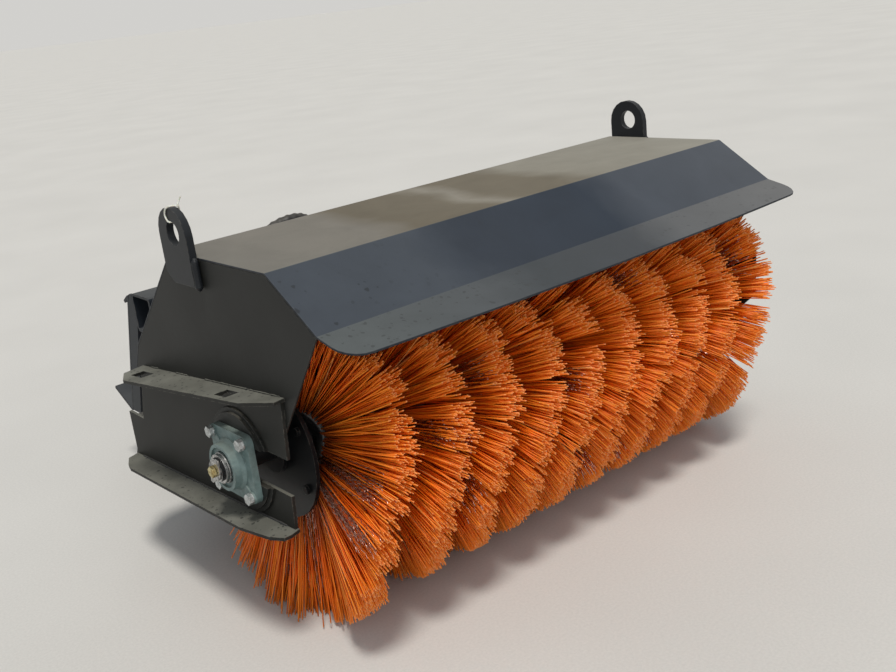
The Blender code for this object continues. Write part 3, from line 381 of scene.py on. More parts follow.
def paintFinish(name):
    look = paints[name]
    material, tree, surface = newMaterial(name)
    dust = layDust(tree, look)
    wear = useGroup(tree, edgeWear, Width=paintLook["wearWidth"], Amount=look["wear"])["Mask"]
    grain = useGroup(tree, surfaceGrain, Fine=paintLook["fine"], Coarse=paintLook["coarse"])
    drops = useGroup(tree, driedDrops, Scale=look["dropScale"], Share=look["drops"],
                     Cover=look["cover"])["Mask"]
    where = coordinates(tree)["Object"]
    faded = spread(tree, noise(tree, where, 2.6, 5.0, 0.6), 0.35, 0.68, smooth=True)
    coat = mixColor(tree, faded, look["coat"], look["faded"])
    silted = spread(tree, noise(tree, where, 2.1, 3.0, 0.5, 0.6), 0.42, 0.60, smooth=True)
    soil = mixColor(tree, silted, look["dust"], look["silt"])
    film = times(tree, spread(tree, grain["Tone"], 0.3, 0.75), look["film"])
    laid = times(tree, dust["Mask"], look["dustShare"])
    laid = calc(tree, "MAXIMUM", laid, film)
    kept = calc(tree, "SUBTRACT", 1.0, times(tree, drops, paintLook["dropClean"]))
    laid = times(tree, laid, kept)
    color = mixColor(tree, laid, coat, soil)
    color = mixColor(tree, times(tree, drops, paintLook["dropShare"]), color, paintLook["dropTone"])
    color = mixColor(tree, wear, color, paintLook["worn"])
    rough = calc(tree, "ADD", look["rough"], times(tree, laid, paintLook["dustRough"]))
    rough = calc(tree, "ADD", rough, times(tree, grain["Tone"], paintLook["grainRough"]))
    grit = times(tree, times(tree, dust["Grit"], laid), 0.8)
    height = calc(tree, "ADD", grain["Height"], grit)
    finishSurface(tree, surface, color, rough, height, paintLook["bump"], look["shine"])
    return material


hoodLook = {  # the ramps run along the hood, from its bearing end to its motor end
    "coat": tone(32, 36, 42), "rear": tone(86, 83, 76), "rough": 0.44, "shine": 0.22, "bump": (0.16, 0.0006),
    # these colours carry painted light: the top is lighter partly from dust and partly as painted sunlight,
    # the lip partly as painted sunlight, and the slope's blue grey is partly painted sky reflection on the
    # dark paint
    "top": ((0.00, tone(115, 112, 105)), (0.19, tone(119, 115, 107)), (0.25, tone(101, 94, 80)),
            (0.39, tone(106, 99, 85)), (0.43, tone(134, 129, 118)), (0.47, tone(107, 100, 86)),
            (0.57, tone(106, 99, 85)), (0.64, tone(134, 130, 119)), (1.00, tone(143, 140, 130))),
    "slope": ((0.00, tone(61, 67, 75)), (0.22, tone(63, 69, 77)), (0.29, tone(46, 53, 63)),
              (0.56, tone(36, 45, 57)), (0.64, tone(62, 68, 77)), (1.00, tone(68, 73, 81))),
    "lip": ((0.00, tone(81, 86, 87)), (0.24, tone(73, 77, 80)), (0.31, tone(57, 62, 66)),
            (0.56, tone(58, 62, 67)), (0.66, tone(87, 89, 91)), (1.00, tone(97, 98, 99))),
    "spot": tone(34, 36, 38), "spotShare": 0.62,
    "fineSpots": (60.0, 0.42, 0.25), "wideSpots": (72.0, 0.60, 0.8),  # scale, share and cover
    "smear": tone(118, 119, 115), "smearShare": 0.45, "worn": tone(128, 126, 120), "wear": 0.35,
    "halfLength": 0.762, "foldY": -1.050, "foldReach": 0.030,  # in the hood's own measures
}


def hoodFinish():
    look = hoodLook
    material, tree, surface = newMaterial("hoodPaint")
    coords = coordinates(tree)
    where = coords["Object"]
    split = place(tree, "ShaderNodeSeparateXYZ", {0: where}).outputs
    facing = place(tree, "ShaderNodeSeparateXYZ", {0: coords["Normal"]}).outputs
    drift = spread(tree, noise(tree, where, 2.6, 4.0, 0.55), 0.25, 0.75, -0.055, 0.055)
    length = calc(tree, "ADD", spread(tree, split[0], -look["halfLength"], look["halfLength"]), drift)
    # how level a face is tells the top, the lip and the slope apart
    isTop = spread(tree, facing[2], 0.976, 0.990, smooth=True)
    isLip = spread(tree, facing[2], 0.900, 0.950, smooth=True)
    isSlope = spread(tree, facing[2], 0.70, 0.80, smooth=True)
    isFront = calc(tree, "LESS_THAN", facing[1], 0.3)
    cloud = spread(tree, noise(tree, where, 7.0, 6.0, 0.62, 0.5), 0.30, 0.70, 0.90, 1.09)
    grit = noise(tree, where, 700.0, 2.0, 0.6)
    shade = times(tree, cloud, spread(tree, grit, 0.25, 0.75, 0.95, 1.05))
    # the slope, lip and top ramps put their painted sunlight and painted sky reflection on the faces they
    # pick
    rear = mixColor(tree, isSlope, look["coat"], look["rear"])
    color = mixColor(tree, times(tree, isSlope, isFront), rear, ramp(tree, length, look["slope"]))
    color = mixColor(tree, isLip, color, ramp(tree, length, look["lip"]))
    color = mixColor(tree, isTop, color, ramp(tree, length, look["top"]))
    color = scaleBy(tree, color, shade)
    # dried marks: small and dark on the slope's near end and all along the lip
    near = spread(tree, length, 0.42, 0.20, smooth=True)
    fine, wide = (useGroup(tree, driedDrops, Scale=scale, Share=share, Cover=cover)["Mask"]
                  for scale, share, cover in (look["fineSpots"], look["wideSpots"]))
    marks = calc(tree, "MAXIMUM", times(tree, fine, near), times(tree, wide, isLip))
    marks = times(tree, marks, calc(tree, "SUBTRACT", 1.0, isTop))
    marks = times(tree, marks, isSlope)
    color = mixColor(tree, times(tree, marks, look["spotShare"]), color, look["spot"])
    # pale smears where water dried along the fold of the lip
    away = calc(tree, "ABSOLUTE", calc(tree, "SUBTRACT", split[1], look["foldY"]))
    fold = spread(tree, away, 0.0, look["foldReach"], 1.0, 0.0, smooth=True)
    streak = place(tree, "ShaderNodeMapping", {0: where, 3: (9.0, 46.0, 46.0)})
    streak = spread(tree, noise(tree, streak.outputs[0], 1.0, 5.0, 0.65), 0.50, 0.66, smooth=True)
    smear = times(tree, times(tree, fold, streak), isFront)
    color = mixColor(tree, times(tree, smear, look["smearShare"]), color, look["smear"])
    wear = useGroup(tree, edgeWear, Width=paintLook["wearWidth"], Amount=look["wear"])["Mask"]
    color = mixColor(tree, wear, color, look["worn"])
    rough = calc(tree, "ADD", look["rough"], times(tree, isTop, 0.25))
    rough = calc(tree, "SUBTRACT", rough, times(tree, marks, 0.12))
    height = calc(tree, "ADD", times(tree, grit, 0.5), noise(tree, where, 45.0, 4.0, 0.6))
    finishSurface(tree, surface, color, rough, height, look["bump"], look["shine"])
    return material


metals = {
    "zincPlate": {"bright": tone(206, 210, 211), "dull": tone(166, 169, 168),
                  "rough": 0.44, "lines": 0.0, "soil": 0.25},
    "yellowZinc": {"bright": tone(205, 196, 150), "dull": tone(150, 128, 82),
                   "rough": 0.30, "lines": 0.0, "soil": 0.2},
    "turnedSteel": {"bright": tone(188, 188, 187), "dull": tone(112, 113, 114),
                    "rough": 0.26, "lines": 0.5, "soil": 0.1},
    "chromeRod": {"bright": tone(222, 224, 226), "dull": tone(190, 192, 194),
                  "rough": 0.12, "lines": 0.1, "soil": 0.1},
    "bristleWire": {"bright": tone(224, 186, 172), "dull": tone(128, 80, 66),
                    "rough": 0.24, "lines": 0.0, "soil": 0.1},
}
metalLook = {  # what every metal shares
    "fine": 1500.0, "coarse": 160.0, "linePitch": 1300.0, "lineHeight": 3.0, "soilTone": tone(92, 82, 68),
    "dullRough": 0.22, "soilRough": 0.5, "bump": (0.16, 0.0004),
}


def metalFinish(name):
    look = metals[name]
    material, tree, surface = newMaterial(name)
    grain = useGroup(tree, surfaceGrain, Fine=metalLook["fine"], Coarse=metalLook["coarse"])
    lines = useGroup(tree, turnedLines, Pitch=metalLook["linePitch"])["Height"]
    where = coordinates(tree)["Object"]
    dull = spread(tree, noise(tree, where, 90.0, 4.0, 0.65), 0.38, 0.70, smooth=True)
    color = mixColor(tree, dull, look["bright"], look["dull"])
    soil = times(tree, spread(tree, grain["Tone"], 0.50, 0.70, smooth=True), look["soil"])
    color = mixColor(tree, soil, color, metalLook["soilTone"])
    surface.inputs["Metallic"].default_value = 1.0
    rough = calc(tree, "ADD", look["rough"], times(tree, dull, metalLook["dullRough"]))
    rough = calc(tree, "ADD", rough, times(tree, soil, metalLook["soilRough"]))
    lines = times(tree, lines, look["lines"] * metalLook["lineHeight"])
    height = calc(tree, "ADD", grain["Height"], lines)
    finishSurface(tree, surface, color, rough, height, metalLook["bump"])
    return material


castLook = {
    "paint": tone(108, 128, 127), "shadow": tone(92, 111, 110), "chalk": tone(140, 152, 147),
    "dust": tone(128, 124, 110), "dustShare": 0.4, "dustRough": 0.25,
    "flatFrom": 0.3, "flatTo": 1.0, "patch": 20.0, "depth": 0.5,
    "grit": 420.0, "lump": 46.0, "rough": 0.5, "wearWidth": 0.002, "wear": 0.8, "bump": (0.3, 0.0010),
}


def castFinish():
    look = castLook
    material, tree, surface = newMaterial("paintedCasting")
    grain = useGroup(tree, surfaceGrain, Fine=look["grit"], Coarse=look["lump"])
    wear = useGroup(tree, edgeWear, Width=look["wearWidth"], Amount=look["wear"])["Mask"]
    dust = layDust(tree, look)["Mask"]
    mottle = spread(tree, grain["Tone"], 0.35, 0.65, smooth=True)
    color = mixColor(tree, mottle, look["shadow"], look["paint"])
    color = mixColor(tree, wear, color, look["chalk"])
    color = mixColor(tree, times(tree, dust, look["dustShare"]), color, look["dust"])
    rough = calc(tree, "ADD", look["rough"], times(tree, dust, look["dustRough"]))
    finishSurface(tree, surface, color, rough, grain["Height"], look["bump"])
    return material


bristleLook = {
    "main": tone(253, 122, 22), "deep": tone(238, 98, 16), "bright": tone(255, 148, 40),
    "pale": tone(248, 176, 104), "cutEnd": tone(252, 172, 112), "cutShare": 0.55,
    # the dark red serves grime and also painted shade, which darkens the strands towards their roots
    "grimeAndShade": tone(116, 46, 20), "rootShadeShare": 0.82, "grimeShare": 0.10, "outerLightShare": 0.45,
    "rough": 0.36, "shine": 0.28, "bump": (0.2, 0.0003),
}


def bristleFinish():
    look = bristleLook
    material, tree, surface = newMaterial("orangeBristle")
    strand = place(tree, "ShaderNodeAttribute", attribute_name="strand").outputs["Fac"]
    along = place(tree, "ShaderNodeAttribute", attribute_name="along").outputs["Fac"]
    where = coordinates(tree)["Object"]
    color = mixColor(tree, spread(tree, strand, 0.0, 0.45, smooth=True), look["deep"], look["main"])
    color = mixColor(tree, spread(tree, strand, 0.55, 0.97, smooth=True), color, look["bright"])
    color = mixColor(tree, spread(tree, strand, 0.975, 0.985), color, look["pale"])
    # towards the root the strands darken: painted shade deep among the rows, with patches of grime laid over
    # it
    root = spread(tree, along, 0.60, 0.05, 0.0, look["rootShadeShare"], smooth=True)
    soiled = spread(tree, noise(tree, where, 26.0, 3.0), 0.52, 0.72, smooth=True)
    grimeAndShade = times(tree, soiled, look["grimeShare"])
    color = mixColor(tree, calc(tree, "MAXIMUM", root, grimeAndShade), color, look["grimeAndShade"])
    # the outer part of each strand is made lighter: painted light on the brush's lit outside
    outer = spread(tree, along, 0.62, 0.98, 0.0, look["outerLightShare"], smooth=True)
    color = mixColor(tree, outer, color, look["bright"])
    tip = spread(tree, along, 0.985, 0.999, 0.0, look["cutShare"])
    color = mixColor(tree, tip, color, look["cutEnd"])
    patches = noise(tree, where, 300.0, 2.0)
    rough = spread(tree, patches, 0.3, 0.7, look["rough"] - 0.06, look["rough"] + 0.14)
    height = noise(tree, where, 900.0, 2.0)
    finishSurface(tree, surface, color, rough, height, look["bump"], look["shine"])
    return material


rubberLook = {
    "black": tone(24, 24, 26), "grey": tone(44, 44, 45), "dust": tone(116, 110, 98), "dustShare": 0.45,
    "flatFrom": 0.0, "flatTo": 1.0, "patch": 25.0, "depth": 0.7,
    "fine": 1200.0, "coarse": 90.0, "rough": (0.38, 0.8), "bump": (0.25, 0.0005),
}


def rubberFinish():
    look = rubberLook
    material, tree, surface = newMaterial("hoseRubber")
    grain = useGroup(tree, surfaceGrain, Fine=look["fine"], Coarse=look["coarse"])
    dust = layDust(tree, look)["Mask"]
    color = mixColor(tree, spread(tree, grain["Tone"], 0.4, 0.7), look["black"], look["grey"])
    color = mixColor(tree, times(tree, dust, look["dustShare"]), color, look["dust"])
    rough = spread(tree, dust, 0.0, 1.0, *look["rough"])
    finishSurface(tree, surface, color, rough, grain["Height"], look["bump"])
    return material


nylonLook = {
    "white": tone(238, 237, 228), "yellowed": tone(208, 204, 190), "fine": 1500.0, "coarse": 200.0,
    "rough": (0.34, 0.5), "glow": 0.1, "bump": (0.1, 0.0003),
}


def nylonFinish():
    look = nylonLook
    material, tree, surface = newMaterial("whiteNylon")
    grain = useGroup(tree, surfaceGrain, Fine=look["fine"], Coarse=look["coarse"])
    color = mixColor(tree, spread(tree, grain["Tone"], 0.35, 0.7), look["white"], look["yellowed"])
    surface.inputs["Subsurface Weight"].default_value = look["glow"]
    rough = spread(tree, grain["Tone"], 0.3, 0.7, *look["rough"])
    finishSurface(tree, surface, color, rough, grain["Height"], look["bump"])
    return material


finishes = {name: paintFinish(name) for name in paints}
finishes["hoodPaint"] = hoodFinish()
finishes.update({name: metalFinish(name) for name in metals})
finishes["paintedCasting"] = castFinish()
finishes["orangeBristle"] = bristleFinish()
finishes["hoseRubber"] = rubberFinish()
finishes["whiteNylon"] = nylonFinish()
print("finishes made:", len(finishes))


# CAD nodes: rounded edges and their own finish

dressing = {
    "hoodPaint": ["hood"],
    "panelPaint": ["end_plate_left", "end_plate_right", "bearing_spacer"],
    "lugPaint": ["lug_left", "lug_right"],
    "hitchPaint": ["qa_plate", "side_post_left", "side_post_right", "cross_tube"],
    "flangePaint": ["bracket_left", "bracket_right"],
    "framePaint": ["fork_upper", "fork_lower", "fork_gusset", "rod_bracket", "stand_sleeve_left",
                   "stand_sleeve_right", "rear_beam", "pivot_hub", "hose_clamp", "coupler_plate",
                   "barrel_bracket", "barrel", "motor", "stand_leg_left", "stand_leg_right"],
    "hubPaint": ["core_tube", "end_disc_left", "end_disc_right"],
    "zincPlate": ["rod_pin", "pivot_pin", "barrel_pin", "stand_screw_left", "stand_screw_right",
                  "bearing_bolt_1", "bearing_bolt_2", "bearing_bolt_3", "bearing_bolt_4",
                  "coupler_1", "coupler_2"],
    "yellowZinc": ["keeper_bolt"],
    "turnedSteel": ["stub_shaft", "bearing_inner_ring", "keeper_plate"],
    "chromeRod": ["rod"],
    "paintedCasting": ["bearing_housing"],
}
edgeRound = {
    "hoodPaint": 0.0012, "lugPaint": 0.0030, "zincPlate": 0.0006, "yellowZinc": 0.0006, "turnedSteel": 0.0006,
    "paintedCasting": 0.0022, "chromeRod": 0.0006,
}
plainRound = 0.0011  # for every finish not named above
weldReach = 0.00002
flatAngle = 0.5  # degrees: faces that meet at less are made one
edgeAngle = 32.0  # degrees: edges that turn by more are rounded


def dressNode(node, finish):
    piece = nodes[node]
    piece.data.materials.clear()
    piece.data.materials.append(finishes[finish])
    for polygon in piece.data.polygons:
        polygon.use_smooth = True
    weld = piece.modifiers.new("weld", "WELD")
    weld.merge_threshold = weldReach
    flat = piece.modifiers.new("flat", "DECIMATE")
    flat.decimate_type = "DISSOLVE"
    flat.angle_limit = math.radians(flatAngle)
    edge = piece.modifiers.new("edge", "BEVEL")
    edge.width = edgeRound.get(finish, plainRound)
    edge.segments = 2
    edge.limit_method = "ANGLE"
    edge.angle_limit = math.radians(edgeAngle)
    shade = piece.modifiers.new("shade", "WEIGHTED_NORMAL")
    shade.weight = 100


for finish, names in dressing.items():
    for node in names:
        dressNode(node, finish)

shaftShadeFrom = -0.782  # the stub shaft is bare steel left of this place; right of it, inside the slot, the dark hub paint is painted shade
shaft = nodes["stub_shaft"]
shaft.data.materials.append(finishes["hubPaint"])
for polygon in shaft.data.polygons:
    if (shaft.matrix_world @ polygon.center).x > centerX + shaftShadeFrom:
        polygon.material_index = 1
print("CAD nodes dressed")


# Brush: ten wavy rows of bristles

brush = {
    "rows": 10, "pitch": 0.140, "strands": 2700, "steps": 4, "seed": 11,
    "radius": 0.0020, "thickness": (0.82, 1.12), "taper": 0.92,
    "reach": 0.430, "trim": 0.002, "ragged": 0.010, "floorGap": 0.0004,
    "root": 0.112, "ring": 0.135, "ringHalf": 0.024, "ringRim": 0.003, "ringEdge": 0.004, "ringGap": 0.0006,
    "ringSteps": 96,
    "waves": 4, "crest": 160.0, "waveRoot": 0.018, "waveTip": 0.042,  # crest in degrees
    "tufts": 34, "tuftWidth": (0.35, 1.65), "tuftFan": 0.007, "tuftLean": 0.026, "gather": 0.24,
    "fan": 1.15, "stray": 0.0040, "turnStray": 0.014, "bow": 0.0045,
    "loose": 0.05, "looseTurn": 0.050, "looseSide": 0.006,
    "endSplay": 0.030, "groundSplay": 0.060, "groundReach": 0.016, "splayStray": 0.6,
    "sideLimit": 0.752, "limitStray": 0.010,
}
wires = {  # crimped wires among the bristles, in bundles
    "bundles": 6, "perBundle": 34, "steps": 22, "radius": 0.0010, "crimp": 0.0017, "crimpAcross": 0.3,
    "spreadAngle": 0.042, "turnStray": 0.045, "bow": 0.004, "reach": (0.80, 0.98),
    "rootOut": (0.5, 1.1), "tipOut": (0.35, 1.05), "out": 0.040, "nearOut": 0.062,
    "nearBundles": (183.0, 197.0, 228.0, 259.0, 271.0, 60.0),  # degrees round the near row
}


def rowCenter(index):
    return centerX + (index - (brush["rows"] - 1) / 2) * brush["pitch"]


def wave(angle):
    turned = math.radians(90.0) - brush["waves"] * math.radians(brush["crest"])
    return np.sin(brush["waves"] * angle + turned)


def radialPoint(x, radius, angle):
    return np.stack([x, axisY + radius * np.cos(angle), axisZ + radius * np.sin(angle)], axis=-1)


def sweepStrands(paths, radius, taper):  # three-sided strands along paths, each with a cap at its tip
    ahead = paths[:, -1] - paths[:, 0]
    ahead /= np.linalg.norm(ahead, axis=1)[:, None]
    across = np.array([1.0, 0.0, 0.0]) - ahead * ahead[:, :1]
    across /= np.linalg.norm(across, axis=1)[:, None]
    around = np.cross(ahead, across)
    count, steps = paths.shape[:2]
    sizes = radius[:, None] * np.linspace(1.0, taper, steps)[None, :]
    corners = []
    for turn in (0.0, 2.0 * math.pi / 3, 4.0 * math.pi / 3):
        side = across * math.cos(turn) + around * math.sin(turn)
        corners.append(paths + side[:, None, :] * sizes[:, :, None])
    points = np.stack(corners, axis=2).reshape(-1, 3)
    first = (np.arange(count) * steps * 3)[:, None, None]
    level = (np.arange(steps - 1) * 3)[None, :, None]
    corner = np.arange(3)[None, None, :]
    a = first + level + corner
    b = first + level + (corner + 1) % 3
    quads = np.stack([a, b, b + 3, a + 3], axis=-1).reshape(-1, 4)
    last = (np.arange(count) * steps * 3 + (steps - 1) * 3)[:, None]
    caps = last + np.arange(3)[None, :]
    return points, quads.tolist() + caps.tolist()


def strandPiece(name, points, faces, capCount, values, finish):
    piece = newPiece(name, points.tolist(), faces, finishes[finish])
    smooth = np.ones(len(faces), bool)
    smooth[len(faces) - capCount:] = False
    piece.data.polygons.foreach_set("use_smooth", smooth)
    for word, numbers in values.items():
        made = piece.data.attributes.new(word, "FLOAT", "POINT")
        made.data.foreach_set("value", numbers.astype(np.float32))
    return piece


def rowPaths(index, random):
    look = brush
    count = look["strands"]
    center = rowCenter(index)
    angle = 2 * math.pi * (np.arange(count) + random.random(count)) / count
    widths = random.uniform(*look["tuftWidth"], look["tufts"])
    tuftEnd = np.cumsum(widths) / widths.sum() * 2 * math.pi
    tuftMiddle = tuftEnd - widths / widths.sum() * math.pi
    strayed = angle + random.uniform(-0.5, 0.5, count) * math.pi / look["tufts"]
    tuft = np.searchsorted(tuftEnd, strayed % (2 * math.pi)) % look["tufts"]
    lean = random.normal(0, look["tuftLean"], look["tufts"])
    fan = random.normal(0, look["tuftFan"], look["tufts"])
    gap = (tuftMiddle[tuft] - angle + math.pi) % (2 * math.pi) - math.pi
    loose = random.random(count) < look["loose"]  # a few bristles stray far from their tuft
    tipAngle = angle + gap * look["gather"] + lean[tuft] + random.normal(0, look["turnStray"], count)
    tipAngle += loose * random.normal(0, look["looseTurn"], count)
    offset = random.uniform(-look["ringHalf"], look["ringHalf"], count)
    rootX = center + wave(angle) * look["waveRoot"] + offset
    tipX = center + wave(tipAngle) * look["waveTip"] + offset * look["fan"] + fan[tuft]
    tipX += random.normal(0, look["stray"], count) + loose * random.normal(0, look["looseSide"], count)
    ground = np.clip(-np.sin(tipAngle), 0.0, 1.0) ** 2  # the weight spreads the bristles on the ground
    reach = look["reach"] - np.abs(random.normal(0, look["ragged"], count)) - look["trim"]
    if index in (0, look["rows"] - 1):  # nothing holds the outer rows in on one side
        away = -1.0 if index == 0 else 1.0
        leaning = random.random(look["tufts"])[tuft] * look["splayStray"]
        leaning = leaning + random.random(count) * look["splayStray"]
        tipX += away * (look["endSplay"] + look["groundSplay"] * ground) * leaning
        reach += look["groundReach"] * ground
    most = look["sideLimit"] - np.abs(random.normal(0, look["limitStray"], count))
    tipX = centerX + np.clip(tipX - centerX, -most, most)
    root = radialPoint(rootX, look["root"], angle)
    return root, radialPoint(tipX, reach, tipAngle)


def bend(root, tip, steps, random, amount):
    part = np.linspace(0.0, 1.0, steps + 1)[None, :, None]
    count = len(root)
    bow = random.normal(0, amount, (count, 3))[:, None, :] * np.sin(part * math.pi)
    hook = random.normal(0, amount, (count, 3))[:, None, :] * part ** 2 * (1 - part)
    return root[:, None, :] * (1 - part) + tip[:, None, :] * part + bow + hook


def makeRing(index):  # the wavy ring that a row's bristles are held in
    look = brush
    center, steps = rowCenter(index), look["ringSteps"]
    points, faces = [], []
    low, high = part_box("core_tube")
    core = (high.z - low.z) / 2 + look["ringGap"]
    half = look["ringHalf"] + look["ringRim"]
    edge = look["ring"] - look["ringEdge"]
    section = ((edge, -1), (look["ring"], -0.8), (look["ring"], 0.8), (edge, 1), (core, 1), (core, -1))
    for turn in range(steps):
        angle = 2 * math.pi * turn / steps
        x = center + float(wave(np.array(angle))) * look["waveRoot"]
        for radius, side in section:
            points.append(tuple(radialPoint(np.array(x + side * half), radius, np.array(angle)).tolist()))
    for turn in range(steps):
        here, there = turn * 6, (turn + 1) % steps * 6
        for corner in range(6):
            follow = (corner + 1) % 6
            faces.append((here + corner, here + follow, there + follow, there + corner))
    return points, faces


def keepRound(paths):  # no strand reaches past the brush's round or into the floor
    y, z = paths[..., 1] - axisY, paths[..., 2] - axisZ
    size = np.sqrt(y * y + z * z)
    most = brush["reach"] + brush["groundReach"] - brush["radius"]
    scale = np.minimum(1.0, most / np.maximum(size, 1e-6))
    paths[..., 1] = axisY + y * scale
    paths[..., 2] = np.maximum(axisZ + z * scale, brush["radius"] + brush["floorGap"])
    return paths


def makeRows():
    look = brush
    wirePaths = []
    count, steps = look["strands"], look["steps"] + 1
    for index in range(look["rows"]):
        random = np.random.default_rng(look["seed"] + index)
        root, tip = rowPaths(index, random)
        paths = keepRound(bend(root, tip, look["steps"], random, look["bow"]))
        thick = look["radius"] * random.uniform(*look["thickness"], count)
        points, faces = sweepStrands(paths, thick, look["taper"])
        ringPoints, ringFaces = makeRing(index)
        bare = np.zeros(len(ringPoints))
        values = {
            "strand": np.concatenate([np.repeat(random.random(count), steps * 3), bare]),
            "along": np.concatenate([np.tile(np.repeat(np.linspace(0, 1, steps), 3), count), bare]),
        }
        faces = [tuple(len(points) + corner for corner in face) for face in ringFaces] + faces
        points = np.concatenate([points, np.array(ringPoints)])
        piece = strandPiece("bristleRow_%02d" % (index + 1), points, faces, count, values, "orangeBristle")
        piece.data.materials.append(finishes["hoseRubber"])  # for the ring
        which = np.zeros(len(faces), np.int32)
        which[:len(ringFaces)] = 1
        piece.data.polygons.foreach_set("material_index", which)
        node = "wafer_%02d" % (index + 1)
        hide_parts(node)
        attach(piece, "brush")
        wirePaths.append(wireRow(index, random))
    paths = np.concatenate(wirePaths)
    random = np.random.default_rng(look["seed"] + 100)
    points, faces = sweepStrands(paths, np.full(len(paths), wires["radius"]), 1.0)
    shade = np.repeat(random.random(len(paths)), (wires["steps"] + 1) * 3)
    piece = strandPiece("crimpedWires", points, faces, len(paths), {"strand": shade}, "bristleWire")
    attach(piece, "brush")


def wireRow(index, random):
    look = wires
    center = rowCenter(index)
    middles = random.uniform(0, 2 * math.pi, look["bundles"])
    sides = random.choice([-1.0, 1.0], look["bundles"])
    out = look["out"]
    if index == 0:  # the near row's bundles stand where the photograph shows them
        middles = np.radians(look["nearBundles"])
        sides = np.full(len(middles), -1.0)
        out = look["nearOut"]
    count = len(middles) * look["perBundle"]
    angle = np.repeat(middles, look["perBundle"]) + random.normal(0, look["spreadAngle"], count)
    side = np.repeat(sides, look["perBundle"])
    rootX = center + wave(angle) * brush["waveRoot"]
    rootX = rootX + side * brush["ringHalf"] * random.uniform(*look["rootOut"], count)
    tipX = center + wave(angle) * brush["waveTip"] + side * out * random.uniform(*look["tipOut"], count)
    tipX = np.clip(tipX, centerX - brush["sideLimit"], centerX + brush["sideLimit"])
    reach = brush["reach"] * random.uniform(*look["reach"], count)
    root = radialPoint(rootX, brush["root"], angle)
    tip = radialPoint(tipX, reach, angle + random.normal(0, look["turnStray"], count))
    paths = bend(root, tip, look["steps"], random, look["bow"])
    zigzag = (np.arange(look["steps"] + 1) % 2 * 2 - 1.0)[None, :, None] * look["crimp"]
    sideways = np.array([1.0, look["crimpAcross"], look["crimpAcross"]])[None, None, :] * zigzag
    return keepRound(paths + sideways)


makeRows()
print("brush made")


# Hoses in their spiral guard

hose = {
    "radius": 0.0128, "guard": 0.0016, "turn": 0.021, "sides": 14, "spacing": 0.0032, "spanSteps": 24,
    "ferrule": 0.0022, "ferruleGroove": 0.0006, "ferruleSides": 18, "ferruleSteps": (14, 16),
    # the arch stands on the hood's rear slope: along it from its upper fold, and lifted off it
    "foldTop": (0.406, 0.888), "foldFoot": (0.700, 0.610), "lift": (0.0757, 0.0417),
    "archX": -0.347, "archRadius": 0.080, "archAlong": 0.1266, "archStart": (0.0003, -0.008),
    "archTurns": (155.0, 130.0, 105.0, 80.0, 55.0, 30.0, 5.0),  # degrees
    "archEnd": 0.040, "bendX": -0.262, "bendAlong": 0.335,
    "route": (  # down to the beam, along it, and round to the motor's ports, for each hose
        ((-0.232, 0.765, 0.640), (-0.188, 0.790, 0.555), (-0.145, 0.797, 0.480), (-0.095, 0.797, 0.425),
         (-0.030, 0.797, 0.403), (0.250, 0.797, 0.403), (0.400, 0.797, 0.403), (0.560, 0.797, 0.403),
         (0.700, 0.798, 0.413), (0.776, 0.796, 0.420), (0.828, 0.770, 0.424), (0.850, 0.710, 0.427),
         (0.853, 0.640, 0.430), (0.852, 0.480, 0.430), (0.852, 0.2833, 0.430)),
        ((-0.226, 0.735, 0.610), (-0.186, 0.753, 0.540), (-0.135, 0.761, 0.462), (-0.085, 0.762, 0.420),
         (-0.030, 0.762, 0.403), (0.250, 0.762, 0.403), (0.400, 0.762, 0.403), (0.560, 0.762, 0.403),
         (0.690, 0.763, 0.412), (0.757, 0.764, 0.421), (0.794, 0.745, 0.427), (0.809, 0.700, 0.430),
         (0.810, 0.620, 0.431), (0.808, 0.480, 0.430), (0.808, 0.2833, 0.430)),
    ),
}


def onSlope(along, lift):
    top, foot = Vector(hose["foldTop"]), Vector(hose["foldFoot"])
    run = (foot - top).normalized()
    point = top + run * along + Vector((-run.y, run.x)) * lift
    return point.x, point.y


def hoseRoute(index):
    lift = hose["lift"][index]
    archX, archRadius = hose["archX"], hose["archRadius"]
    foot = hose["archAlong"] + archRadius
    points = [(archX - archRadius, *onSlope(foot + along, lift)) for along in hose["archStart"]]
    for degrees in hose["archTurns"]:
        angle = math.radians(degrees)
        along = foot - archRadius * math.sin(angle)
        points.append((archX + archRadius * math.cos(angle), *onSlope(along, lift)))
    points.append((archX + archRadius, *onSlope(foot + hose["archEnd"], lift)))
    points.append((hose["bendX"], *onSlope(hose["bendAlong"], lift)))
    return [Vector(point) + shift for point in points + list(hose["route"][index])]


def smoothRoute(points, spacing):  # an even curve through the points, and how far along each of its marks is
    ends = [points[0] * 2 - points[1]] + points + [points[-1] * 2 - points[-2]]
    fine = []
    for index in range(1, len(ends) - 2):
        a, b, c, d = ends[index - 1:index + 3]
        for step in range(hose["spanSteps"]):
            t = step / hose["spanSteps"]
            fine.append(0.5 * ((b * 2) + (c - a) * t + (a * 2 - b * 5 + c * 4 - d) * t ** 2
                               + (b * 3 - a - c * 3 + d) * t ** 3))
    fine.append(points[-1])
    fine = np.array(fine)
    gone = np.concatenate([[0], np.cumsum(np.linalg.norm(np.diff(fine, axis=0), axis=1))])
    marks = np.linspace(0, gone[-1], int(gone[-1] / spacing) + 1)
    return np.stack([np.interp(marks, gone, fine[:, k]) for k in range(3)], axis=1), marks


